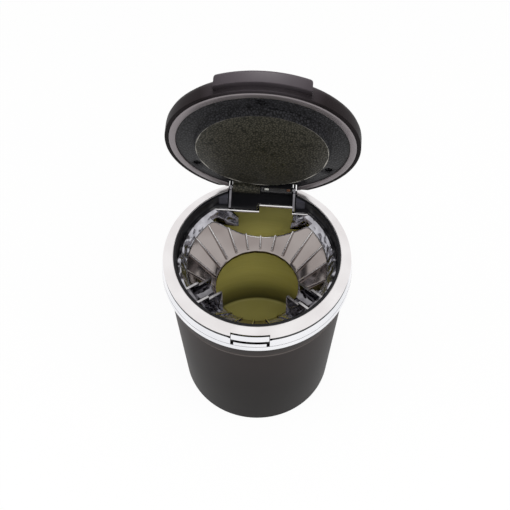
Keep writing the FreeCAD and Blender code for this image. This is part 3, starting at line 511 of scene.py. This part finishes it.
# %% [markdown]
# ## Bright bands and the seam between them
# Two plated rings sit on top of the cup, with a dark seam between them that a lip of the black
# rim fills. The lower one has a fine crease all round, painted darker as shade, and a window for
# the push button. Behind its thin face that window opens into a well, which is painted black as
# shade.

# %% Lower band
BAND_IN, BAND_TOP, CREASE = 38.6, 86.95, 83.0
WINDOW_HALF, WINDOW_FOOT = 8.2, 84.9
NOTCH_HALF, NOTCH_FOOT = 6.9, 83.1
HEAD_TOP = 91.0


def front_room(name, outer, foot, top, half_width):
    """A curved room behind the front of the band, to cut with."""
    room = turned_piece(name, [(36.0, foot, 0), (outer, foot, 0), (outer, top, 0), (36.0, top, 0)])
    return combine(room, "INTERSECT", block((-half_width, -41.1, foot - 0.1), (half_width, -30.0, top + 0.1)))


def band_finish(middle, normal):
    """Number 1, black as painted shade, in the well and window, 2, plating painted darker as shade, in the
    crease, and 0 elsewhere.
    """
    out = middle.xy.length
    if middle.y < 0 and abs(middle.x) < 9.5 and middle.z > 80.5 and out < 40.45:
        return 1
    return 2 if CREASE - 0.14 < middle.z < CREASE + 0.12 and out > 40.6 else 0


band = turned_piece("lower_band", [
    (BAND_IN, SHOULDER_TOP, 0.1), (41.1, SHOULDER_TOP, 0.3),
    (40.96, CREASE - 0.12, 0.03), (40.86, CREASE, 0), (40.93, CREASE + 0.12, 0.03),
    (40.34, BAND_TOP, 0.12), (BAND_IN, BAND_TOP, 0.1)])
pocket = front_room("pocket", outer=39.4, foot=84.0, top=HEAD_TOP, half_width=9.4)
well = front_room("well", outer=40.4, foot=81.0, top=86.4, half_width=8.15)
window = block((-WINDOW_HALF, -42.0, WINDOW_FOOT), (WINDOW_HALF, -36.0, HEAD_TOP))
left_notch = block((-WINDOW_HALF, -42.0, NOTCH_FOOT), (-NOTCH_HALF, -36.0, WINDOW_FOOT + 0.2))
right_notch = block((NOTCH_HALF, -42.0, NOTCH_FOOT), (WINDOW_HALF, -36.0, WINDOW_FOOT + 0.2))
combine(band, "DIFFERENCE", window, pocket, well, left_notch, right_notch)
round_edges(band, 0.1)
hand_over(band, bright_chrome, "base", "chrome", "lower_trim_ring")
paint_faces(band, band_finish, rim_and_gap_shade_abs, painted_dark_chrome)

# %% [markdown]
# ## Bevel ring
# The upper ring is a flat cone that leads the eye into the funnel. It is open at the back for
# the hinge deck, and notched at the front where the top edge of the button keys into it. One
# section for the lathe and two cutting blocks are enough.

# %% Upper bevel ring
BEVEL_FOOT, BEVEL_IN, BEVEL_OUT = 88.45, 35.7, 40.3
DECK_HALF, KEY_TOP = 15.2, 89.35
bevel_ring = turned_piece("bevel_ring", [
    (BEVEL_IN, BEVEL_FOOT, 0.1), (BEVEL_OUT, BEVEL_FOOT, 0.06), (BEVEL_OUT, BEVEL_FOOT + 0.2, 0.08),
    (36.1, HEAD_TOP, 0.25), (BEVEL_IN, HEAD_TOP, 0.1)])
deck_gap = block((-DECK_HALF, 0.0, 84.0), (DECK_HALF, 42.0, 93.0))
key_notch = block((-WINDOW_HALF, -42.0, 84.0), (WINDOW_HALF, -36.3, KEY_TOP))
combine(bevel_ring, "DIFFERENCE", deck_gap, key_notch)
round_edges(bevel_ring, 0.1)
hand_over(bevel_ring, satin_chrome, "base", "chrome", "upper_trim_ring")

# %% [markdown]
# ## The lid
# The lid is drawn lying flat round its own centre, as it would be designed, and then turned up
# about the hinge by one matrix. Drawing it upright would need slanted numbers everywhere. At the
# hinge its tail is cut off, and a round room is left for the hinge ears.

# %% Hanging the lid
HINGE_Y, HINGE_Z = 35.0, 90.8
REACH = 34.6
OPEN = math.radians(82.3)
hang = Matrix.Translation((
    0, (HINGE_Y - REACH * math.cos(OPEN)) * MM, (HINGE_Z + REACH * math.sin(OPEN)) * MM))
hang = hang @ Matrix.Rotation(-OPEN, 4, "X")
EAR_ROOM, ROOM_HALF, TAIL = 3.4, 15.0, 0.9


def lid_cuts():
    """The tail behind the hinge and the round room for the hinge ears."""
    room = turned_piece("room", [
        (0, -ROOM_HALF, 0), (EAR_ROOM, -ROOM_HALF, 0), (EAR_ROOM, ROOM_HALF, 0), (0, ROOM_HALF, 0)], 48)
    room.data.transform(Matrix.Translation((0, REACH * MM, 0)) @ Matrix.Rotation(math.pi / 2, 4, "Y"))
    return block((-50, REACH + TAIL, -10), (50, 60, 20)), room


print("the lid is turned up by", round(math.degrees(OPEN), 1), "degrees")

# %% [markdown]
# ## The lid's shell
# The shell is a shallow turned cap with a skirt. The raised grip at its free end is a slice of
# a second turned ring, trimmed by a block with rounded corners, so that the grip follows the
# lid's edge as the real moulding does.

# %% Lid outside
LID_OUT, SKIRT_IN, LEDGE, LID_FOOT = 41.0, 38.4, 39.4, 0.9
GRIP_OUT, GRIP_HALF, GRIP_TOP = 43.4, 19.5, 9.6
shell = turned_piece("lid_outside", [
    (0, 8.6, 0), (0, 10.1, 0), (LID_OUT, GRIP_TOP, 4.2), (LID_OUT, LID_FOOT, 0.4),
    (LEDGE, LID_FOOT, 0.15), (LEDGE, 1.8, 0), (SKIRT_IN, 1.8, 0.1), (SKIRT_IN, 8.1, 1.0)])
grip = turned_piece("grip", [
    (39.2, 3.2, 0), (GRIP_OUT, 3.2, 0.5), (GRIP_OUT, GRIP_TOP, 1.8), (36.8, GRIP_TOP, 0),
    (36.8, 8.3, 0), (39.2, 6.6, 0)])
trim = block((-GRIP_HALF, -50, 1.0), (GRIP_HALF, 0, GRIP_TOP - 0.01))
rounding = trim.modifiers.new("corner_round", "BEVEL")
rounding.width = 2.2 * MM
rounding.segments = 6
rounding.limit_method = "NONE"
plain_mesh(trim)
combine(grip, "INTERSECT", trim)
combine(shell, "UNION", grip)
combine(shell, "DIFFERENCE", *lid_cuts())
round_edges(shell, 0.25, turn=45.0)
shell.data.transform(hang)
hand_over(shell, lid_abs, "lid", "black_plastic", "lid_shell")

# %% [markdown]
# ## The lid's ring
# A thin painted ring covers the joint between the shell and the plate. It is turned like the
# shell and gets the same two cuts at the hinge, so that the two always agree.

# %% Ring inside the lid
RING_IN, RING_OUT, RING_FOOT, RING_TOP = 36.3, 39.3, 0.6, 1.8
ring = turned_piece("lid_ring", [
    (RING_IN, RING_FOOT, 0.3), (RING_OUT, RING_FOOT, 0.5), (RING_OUT, RING_TOP, 0), (RING_IN, RING_TOP, 0)])
combine(ring, "DIFFERENCE", *lid_cuts())
ring.data.transform(hang)
hand_over(ring, ring_paint, "lid", "grey_metal", "lid_trim_ring")

# %% [markdown]
# ## Pieces that keep the CAD's shape
# The funnel, the rim, the button, the lid's plate and the lamp have too many cuts to draw twice.
# A CAD node arrives as loose triangles with razor edges, so a copy is merged first and then its
# edges are rounded. On the rim, the two small blocks beside the hinge are greyer than the rest.

# %% Merged copies, beginning with the rim
def finished_copy(name, node, material, body, slot, edge_mm, turn=35.0):
    """A merged copy of a CAD node with rounded edges, standing for that node."""
    work = bmesh.new()
    work.from_mesh(nodes[node].data)
    bmesh.ops.remove_doubles(work, verts=work.verts, dist=0.002 * MM)
    piece = piece_from(name, work)
    round_edges(piece, edge_mm)
    hand_over(piece, material, body, slot, node, turn=turn)
    return piece


def rim_finish(middle, normal):
    """Number 1 on the two blocks of the hinge deck and 0 elsewhere."""
    beside_hinge = 14.9 < abs(middle.x) < 19.1 and middle.y > 28.5
    return 1 if beside_hinge and middle.z > 86.3 and middle.xy.length < 34.3 else 0


rim = finished_copy("rim", "inner_rim", rim_and_gap_shade_abs, "base", "rim_plastic", 0.15)
paint_faces(rim, rim_finish, block_abs)

# %% [markdown]
# ## The funnel
# The funnel is one plated moulding, but it does not look like one finish: the facets are calm
# mirrors, the collar and the rear panels sparkle, the rests are painted dark inside as a painted
# dark reflection, with paler tops, and the hinge ears are painted black at their sides and dark
# at their fronts, also as painted dark reflection. The faces are told apart by where they lie.
# The panels behind the slot reach out to the collar, and the left one stops short of the middle.

# %% Funnel
PANEL_FOOT, PANEL_HEAD, PANEL_CUT_TOP = 74.1, 85.2, 84.9
PANEL_FRONT, PANEL_BACK = 25.55, 26.45
WING_IN, WING_OUT = 16.2, 20.4
REST_TURN = math.radians(53.0)
REST_START, REST_HALF, REST_FLOOR, REST_WALL = 20.4, 4.7, 77.0, 3.4
LIP_LOW, LIP_HIGH = 85.6, 86.6


def funnel_finish(middle, normal):
    """0 facets, 1 sparkle, 2 ear sides in black as painted dark reflection, 3 lips, 4 rests and ear fronts in
    plating painted dark, 5 rests' wall tops.
    """
    along = abs(middle.x) * math.sin(REST_TURN) - middle.y * math.cos(REST_TURN)
    across = abs(abs(middle.x) * math.cos(REST_TURN) + middle.y * math.sin(REST_TURN))
    if along > REST_START and across < REST_HALF and middle.z > REST_FLOOR:
        return 5 if normal.z > 0.8 and across > REST_WALL else 4
    if middle.y > 25.3 and LIP_LOW < middle.z < LIP_HIGH:
        return 3
    # Ear sides are painted black and ear fronts painted dark, as painted dark reflection.
    if middle.z > LIP_HIGH:
        return 2 if abs(normal.x) > 0.5 else 4
    on_collar = 80.6 < middle.z < 86.2 and middle.xy.length > 30.3
    on_panel = abs(middle.y - 26.0) < 0.7 and middle.z < PANEL_CUT_TOP
    on_front_facet = middle.y < -9.0 and abs(middle.x) > 6.0 and middle.z > 66.5
    return 1 if on_collar or on_panel or on_front_facet else 0


funnel = finished_copy("funnel", "funnel_insert", mirror_chrome, "base", "mirror_plating", 0.18, 10.0)
left_wing = block((-WING_OUT, PANEL_FRONT, PANEL_FOOT), (-WING_IN, PANEL_BACK, PANEL_HEAD))
right_wing = block((WING_IN, PANEL_FRONT, PANEL_FOOT), (WING_OUT, PANEL_BACK, PANEL_HEAD))
combine(funnel, "UNION", left_wing, right_wing)
combine(funnel, "DIFFERENCE", block((-10.2, 25.0, 70.0), (-2.5, 27.0, PANEL_CUT_TOP)))
paint_faces(funnel, funnel_finish, crinkled_chrome, rim_and_gap_shade_abs, crest_chrome, painted_dark_chrome, rest_edge_chrome)
print("finishes on the funnel:", len(funnel.data.materials))

# %% [markdown]
# ## The push button
# The button's plated face is a low strip, so its copy is cut away below that strip. The cut and
# everything behind the face are painted black as shade, which makes the dark gap round the button.

# %% Button
FACE_FOOT, FACE_BACK = 86.6, 39.4


def button_finish(middle, normal):
    """Number 1, black as painted shade, behind the face and on downward faces, and 0 elsewhere."""
    return 1 if middle.xy.length < 39.5 or normal.z < -0.5 else 0


button = finished_copy("button", "release_button", bright_chrome, "button", "chrome", 0.15)
combine(button, "DIFFERENCE", block((-9.0, -42.0, 84.0), (9.0, -FACE_BACK, FACE_FOOT)))
paint_faces(button, button_finish, rim_and_gap_shade_abs)

# %% [markdown]
# ## Lid plate and lamp
# The plate inside the lid carries a round pad whose edge has a painted highlight, pale low down
# and fading upwards. Its faces are told apart in the lid's own flat drawing, which the inverse of
# the hanging matrix gives back. The lamp's block, lens and contact sit beside the hinge tongue.

# %% Lid plate and lamp
PAD_OUT, PAD_EDGE_IN, PAD_LEVEL = 28.05, 27.45, -1.8
TONGUE_START, TONGUE_HALF = 29.5, 14.5


def plate_finish(middle, normal):
    """Number 1 on the pad's edge, with its painted highlight, 2 on the pad and the hinge tongue, and 0
    elsewhere.
    """
    if middle.y > TONGUE_START and abs(middle.x) < TONGUE_HALF:
        return 2
    if middle.z < PAD_LEVEL and middle.xy.length < PAD_OUT:
        return 1 if middle.xy.length > PAD_EDGE_IN else 2
    return 0


plate = finished_copy("lid_plate", "lid_liner_plate", grained_abs, "lid", "grained_plastic", 0.2)
paint_faces(plate, plate_finish, pad_edge_highlight, pad_abs, drawn=hang.inverted())
finished_copy("lamp_block", "lamp_housing", gloss_black, "lid", "gloss_black", 0.15)
finished_copy("lamp_lens", "lamp_led", pale_lens, "lid", "pale_lamp", 0.1)
finished_copy("lamp_pad", "lamp_contact", copper, "lid", "copper", 0.1)

# %% [markdown]
# ## The leaf spring behind the button
# A bowed strip of steel pushes the button out. Pressing the button flattens the bow against the
# rim. A rigid strip would be cut by the button. Here the spring is a merged copy of its CAD node,
# given a mesh of its own.

# %% Leaf spring
leaf = finished_copy("leaf_spring", "button_spring", pin_steel, "base", "steel", 0.03)
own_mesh(leaf)

# %% [markdown]
# ## Nodes that keep their CAD mesh
# The hinge pin shows only its ends, and the lamp's board and cell are hidden in the lid. Their
# CAD meshes are good enough as they are, so they only get a finish.

# %% Pin, board and cell
for node, material in (("hinge_pin", pin_steel), ("lamp_board", board_resin), ("coin_cell", pin_steel)):
    nodes[node].data.materials.clear()
    nodes[node].data.materials.append(material)
    print(node, "in", material.name)

# %% [markdown]
# ## Rules for what repeats
# Twenty-two ribs and three screws are each one shape, set out round a circle. Copies could be
# placed by hand, but a Geometry Nodes rule keeps the count, the circle and the shape as named
# numbers. Each rule is run once and its result is kept as a plain mesh.

# %% Running a rule
def new_rule(name, values):
    """A Geometry Nodes group with one named input for each value and one mesh as output."""
    tree = bpy.data.node_groups.new(name, "GeometryNodeTree")
    for label, value in values.items():
        kind = "NodeSocketInt" if isinstance(value, int) else "NodeSocketFloat"
        tree.interface.new_socket(label, in_out="INPUT", socket_type=kind)
    tree.interface.new_socket("Mesh", in_out="OUTPUT", socket_type="NodeSocketGeometry")
    return tree, add_node(tree, "NodeGroupInput").outputs


def run_rule(name, tree, values):
    """A new piece with the plain mesh that a rule makes from these values."""
    piece = piece_from(name, bmesh.new())
    step = piece.modifiers.new("rule", "NODES")
    step.node_group = tree
    for item in tree.interface.items_tree:
        if item.in_out == "INPUT":
            step[item.identifier] = values[item.name]
    plain_mesh(piece)
    print(name, "made from", len(values), "named numbers")
    return piece


# %% [markdown]
# ## Rounded crests on the ribs
# The ribs of the funnel have soft crests that draw a bright line down each one. A thin bead
# along the crest gives that line. The rule makes one bead and turns it round the axis, and the
# slot at the back is then cut through the beads as it is through the ribs.

# %% Beads on the rib crests
SLOT_FRONT, CONE_TOP = 22.3, 30.5
values = {"Ribs": 22, "First Angle": math.pi / 2, "Low Radius": 18.9 * MM, "Low Height": 67.58 * MM,
          "High Radius": CONE_TOP * MM, "High Height": 81.24 * MM, "Bead Radius": 0.36 * MM}
tree, given = new_rule("rib_crests", values)
low_end = add_node(tree, "ShaderNodeCombineXYZ", {"X": given["Low Radius"], "Z": given["Low Height"]})
high_end = add_node(tree, "ShaderNodeCombineXYZ", {"X": given["High Radius"], "Z": given["High Height"]})
crest = add_node(tree, "GeometryNodeCurvePrimitiveLine", {
    "Start": low_end.outputs[0], "End": high_end.outputs[0]})
outline = add_node(tree, "GeometryNodeCurvePrimitiveCircle", {
    "Resolution": 12, "Radius": given["Bead Radius"]})
bead = add_node(tree, "GeometryNodeCurveToMesh", {
    "Curve": crest.outputs[0], "Profile Curve": outline.outputs[0], "Fill Caps": True})
spots = add_node(tree, "GeometryNodePoints", {"Count": given["Ribs"]})
share = add_node(tree, "ShaderNodeMath", {0: 2 * math.pi, 1: given["Ribs"]}, operation="DIVIDE")
number = add_node(tree, "GeometryNodeInputIndex")
angle = add_node(tree, "ShaderNodeMath", {
    0: number.outputs[0], 1: share.outputs[0], 2: given["First Angle"]}, operation="MULTIPLY_ADD")
about_z = add_node(tree, "ShaderNodeCombineXYZ", {"Z": angle.outputs[0]})
turn = add_node(tree, "FunctionNodeEulerToRotation", {0: about_z.outputs[0]})
placed = add_node(tree, "GeometryNodeInstanceOnPoints", {
    "Points": spots.outputs[0], "Instance": bead.outputs[0], "Rotation": turn.outputs[0]})
real = add_node(tree, "GeometryNodeRealizeInstances", {"Geometry": placed.outputs[0]})
plated = add_node(tree, "GeometryNodeSetMaterial", {"Geometry": real.outputs[0], "Material": crest_chrome})
add_node(tree, "NodeGroupOutput", {"Mesh": plated.outputs[0]})
crests = run_rule("rib_crests", tree, values)
combine(crests, "DIFFERENCE", block((-40.0, SLOT_FRONT, 50.0), (40.0, 45.0, 95.0)))
hand_over(crests, crest_chrome, "base", "mirror_plating")

# %% [markdown]
# ## Bright ridges
# The facets end in a polished ridge, at the slot and under the collar, and the lips behind the
# slot have such an edge too. Each draws a white line. A curve with a round section follows the
# edge: going round the axis, the radius is the cone's top or the slot's front, whichever is less.

# %% Beads on ridges and lips
CONE_TOP_Z, CONE_SLOPE = 81.25, 1.27
LIP_FRONT, LIP_TOP_Z, LIP_END, LIP_STEP, LAMP_LIP_FRONT = 25.5, 86.0, 20.5, -1.0, 29.0
EAR_X = 13.6
ridge = []
for degrees in range(-24, 205, 3):
    angle = math.radians(degrees)
    radius = min(CONE_TOP, SLOT_FRONT / max(math.sin(angle), 0.1))
    ridge.append((radius * math.cos(angle), radius * math.sin(angle),
                  CONE_TOP_Z - CONE_SLOPE * (CONE_TOP - radius)))
left_edge = [(-LIP_END, LIP_FRONT, LIP_TOP_Z), (LIP_STEP, LIP_FRONT, LIP_TOP_Z)]
lamp_edge = [(LIP_STEP, LAMP_LIP_FRONT, LIP_TOP_Z), (EAR_X, LAMP_LIP_FRONT, LIP_TOP_Z)]
right_edge = [(EAR_X, LIP_FRONT, LIP_TOP_Z), (LIP_END, LIP_FRONT, LIP_TOP_Z)]
drawing = bpy.data.curves.new("ridge_beads", "CURVE")
drawing.dimensions = "3D"
drawing.bevel_depth = 0.32 * MM
drawing.bevel_resolution = 2
drawing.use_fill_caps = True
for line in (ridge, left_edge, lamp_edge, right_edge):
    strand = drawing.splines.new("POLY")
    strand.points.add(len(line) - 1)
    for point, spot in zip(strand.points, line):
        point.co = (*[size * MM for size in spot], 1.0)
wire = bpy.data.objects.new("ridge_curve", drawing)
bpy.context.scene.collection.objects.link(wire)
ridges = piece_from("ridge_beads", bmesh.new())
ridges.data = bpy.data.meshes.new_from_object(wire.evaluated_get(bpy.context.evaluated_depsgraph_get()))
bpy.data.objects.remove(wire)
hand_over(ridges, crest_chrome, "base", "mirror_plating")

# %% [markdown]
# ## Screws
# Three small cross-head screws hold the lid's plate. The rule draws one with a head, a shank and
# a cross cut by a boolean, and sets it on the points of a circle. The head faces down in the
# lid's own drawing, which is towards the viewer once the lid is hung.

# %% Screws on a circle
SCREW_LEVEL = 1.85
values = {"Screws": 3, "Circle Radius": 32.6 * MM, "Head Radius": 1.5 * MM, "Head Height": 0.9 * MM,
          "Shank Radius": 0.85 * MM, "Shank Length": 3.2 * MM, "Cross Width": 0.4 * MM,
          "Cross Length": 1.7 * MM}
tree, given = new_rule("lid_screws", values)
head = add_node(tree, "GeometryNodeMeshCylinder", {
    "Vertices": 40, "Radius": given["Head Radius"], "Depth": given["Head Height"]})
one_arm = add_node(tree, "ShaderNodeCombineXYZ", {
    "X": given["Cross Length"], "Y": given["Cross Width"], "Z": given["Head Height"]})
other_arm = add_node(tree, "ShaderNodeCombineXYZ", {
    "X": given["Cross Width"], "Y": given["Cross Length"], "Z": given["Head Height"]})
half_down = add_node(tree, "ShaderNodeMath", {0: given["Head Height"], 1: -0.5}, operation="MULTIPLY")
face_spot = add_node(tree, "ShaderNodeCombineXYZ", {"Z": half_down.outputs[0]})
cut_head = head
for arm in (one_arm, other_arm):
    bar = add_node(tree, "GeometryNodeMeshCube", {"Size": arm.outputs[0]})
    sunk = add_node(tree, "GeometryNodeTransform", {
        "Geometry": bar.outputs[0], "Translation": face_spot.outputs[0]})
    cut_head = add_node(tree, "GeometryNodeMeshBoolean", {
        "Mesh 1": cut_head.outputs[0], "Mesh 2": sunk.outputs[0]}, operation="DIFFERENCE", solver="EXACT")
shank = add_node(tree, "GeometryNodeMeshCylinder", {
    "Vertices": 24, "Radius": given["Shank Radius"], "Depth": given["Shank Length"]})
both = add_node(tree, "ShaderNodeMath", {0: given["Head Height"], 1: given["Shank Length"]}, operation="ADD")
half_up = add_node(tree, "ShaderNodeMath", {0: both.outputs[0], 1: 0.5}, operation="MULTIPLY")
shank_spot = add_node(tree, "ShaderNodeCombineXYZ", {"Z": half_up.outputs[0]})
raised = add_node(tree, "GeometryNodeTransform", {
    "Geometry": shank.outputs[0], "Translation": shank_spot.outputs[0]})
screw = add_node(tree, "GeometryNodeJoinGeometry", {"Geometry": cut_head.outputs[0]})
tree.links.new(raised.outputs[0], screw.inputs["Geometry"])
circle = add_node(tree, "GeometryNodeMeshCircle", {
    "Vertices": given["Screws"], "Radius": given["Circle Radius"]})
placed = add_node(tree, "GeometryNodeInstanceOnPoints", {
    "Points": circle.outputs[0], "Instance": screw.outputs[0]})
real = add_node(tree, "GeometryNodeRealizeInstances", {"Geometry": placed.outputs[0]})
blackened = add_node(tree, "GeometryNodeSetMaterial", {"Geometry": real.outputs[0], "Material": black_screw})
add_node(tree, "NodeGroupOutput", {"Mesh": blackened.outputs[0]})
screws = run_rule("screws", tree, values)
first_at_free_end = Matrix.Translation((0, 0, SCREW_LEVEL * MM)) @ Matrix.Rotation(-math.pi / 2, 4, "Z")
screws.data.transform(hang @ first_at_free_end)
round_edges(screws, 0.08)
hand_over(screws, black_screw, "lid", "dark_screws", "lid_screws")

# %% [markdown]
# ## White surroundings
# The picture was taken on white, under soft light. The world is white for what the camera and
# the mirror surfaces see, and dimmer as a lamp. The floor mixes a little glow for the camera
# with a plain diffuse surface, so it looks white and still carries the shadow.

# %% World and floor
WORLD_AS_LAMP, GLOW_SHARE = 0.55, 0.93
FLOOR_HALF, FLOOR_DROP = 3.0, 0.0002


def seen_directly(tree):
    """One for rays from the camera, from mirrors or through glass, and nought for all others."""
    path = add_node(tree, "ShaderNodeLightPath")
    seen = path.outputs["Is Camera Ray"]
    for kind in ("Is Glossy Ray", "Is Transmission Ray"):
        larger = add_node(tree, "ShaderNodeMath", {0: seen, 1: path.outputs[kind]}, operation="MAXIMUM")
        seen = larger.outputs[0]
    return seen


world = bpy.data.worlds.new("white_studio")
bpy.context.scene.world = world
world.use_nodes = True
tree = world.node_tree
tree.nodes.clear()
dim = add_node(tree, "ShaderNodeBackground", {"Color": linear("#FFFFFF"), "Strength": WORLD_AS_LAMP})
white = add_node(tree, "ShaderNodeBackground", {"Color": linear("#FFFFFF"), "Strength": 1.0})
either = add_node(tree, "ShaderNodeMixShader", {
    "Fac": seen_directly(tree), 1: dim.outputs[0], 2: white.outputs[0]})
add_node(tree, "ShaderNodeOutputWorld", {"Surface": either.outputs[0]})

floor_mesh = bpy.data.meshes.new("floor")
floor_corners = [(-FLOOR_HALF, -FLOOR_HALF, 0), (FLOOR_HALF, -FLOOR_HALF, 0),
                 (FLOOR_HALF, FLOOR_HALF, 0), (-FLOOR_HALF, FLOOR_HALF, 0)]
floor_mesh.from_pydata(floor_corners, [], [(0, 1, 2, 3)])
floor = bpy.data.objects.new("floor", floor_mesh)
floor.location.z = -FLOOR_DROP
bpy.context.scene.collection.objects.link(floor)
paper, tree, shader = new_finish("white_paper_floor", Roughness=0.9)
shader.inputs["Base Color"].default_value = linear("#F2F2F2")
share = add_node(tree, "ShaderNodeMath", {0: seen_directly(tree), 1: GLOW_SHARE}, operation="MULTIPLY")
glow = add_node(tree, "ShaderNodeEmission", {"Color": linear("#FFFFFF"), "Strength": 1.0})
blend = add_node(tree, "ShaderNodeMixShader", {
    "Fac": share.outputs[0], 1: shader.outputs[0], 2: glow.outputs[0]})
tree.links.new(blend.outputs[0], tree.nodes["Material Output"].inputs["Surface"])
floor_mesh.materials.append(paper)
print("floor and world ready")

# %% [markdown]
# ## Soft lamps
# A photographer would put one large soft box above and two reflectors at the sides. Area lamps
# do that here. They are hidden from mirrors, because plating should show the white surroundings
# and no rectangles. One small lamp behind the lid is kept for the lid's shell alone by light
# linking, where it lays a sheen on the grip.

# %% Lamps
def soft_lamp(name, spot, aim, size, watts, colour):
    """A rectangular area lamp at a spot, facing a point, with its sizes in metres."""
    lamp = bpy.data.lights.new(name, "AREA")
    lamp.shape = "RECTANGLE"
    lamp.size = size[0]
    lamp.size_y = size[1]
    lamp.energy = watts
    lamp.color = linear(colour)[:3]
    holder = bpy.data.objects.new(name, lamp)
    holder.location = spot
    holder.rotation_euler = (Vector(aim) - Vector(spot)).to_track_quat("-Z", "Y").to_euler()
    holder.visible_glossy = False
    bpy.context.scene.collection.objects.link(holder)
    print(name, watts, "watts")
    return holder


soft_lamp("key_above", spot=(0.1, -0.35, 0.85), aim=(0, 0, 0.08), size=(0.7, 0.5), watts=4.0,
          colour="#FFFDFB")
soft_lamp("fill_left", spot=(-0.7, -0.2, 0.3), aim=(0, 0, 0.06), size=(0.5, 0.5), watts=2.0,
          colour="#FFFFFF")
soft_lamp("fill_right", spot=(0.7, -0.2, 0.3), aim=(0, 0, 0.06), size=(0.5, 0.5), watts=2.0,
          colour="#FFFFFF")
sheen = soft_lamp("sheen_behind", spot=(0, 0.42, 0.65), aim=(0, 0.03, 0.16), size=(0.35, 0.2), watts=12.0,
                  colour="#FFFFFF")
sheen.visible_glossy = True
sheen_group = bpy.data.collections.new("sheen_on_lid")
sheen_group.objects.link(shell)
sheen.light_linking.receiver_collection = sheen_group

# %% [markdown]
# ## Camera of the photograph
# The camera was fitted to the photo's ellipses: it looks down steeply and stands a little to the
# right of the middle. Its distance can't be read from the photo, and half a metre is a usual one
# for a product this small. The small shifts move the picture without turning the camera.

# %% Camera
AZIMUTH, ELEVATION = math.radians(4.2), math.radians(56.63)
DISTANCE = 0.5
TARGET = Vector((0, 0, 0.091))
back = Vector((math.sin(AZIMUTH) * math.cos(ELEVATION), -math.cos(AZIMUTH) * math.cos(ELEVATION),
               math.sin(ELEVATION)))
camera_data = bpy.data.cameras.new("photo_camera")
camera_data.lens = 82.8
camera_data.sensor_width = 36.0
camera_data.shift_x = -0.0040
camera_data.shift_y = -0.0022
camera = bpy.data.objects.new("photo_camera", camera_data)
camera.location = TARGET + back * DISTANCE
camera.rotation_euler = (-back).to_track_quat("-Z", "Y").to_euler()
bpy.context.scene.collection.objects.link(camera)
bpy.context.scene.camera = camera
bpy.context.scene.view_settings.view_transform = "Standard"
print("camera at", [round(x, 3) for x in camera.location])
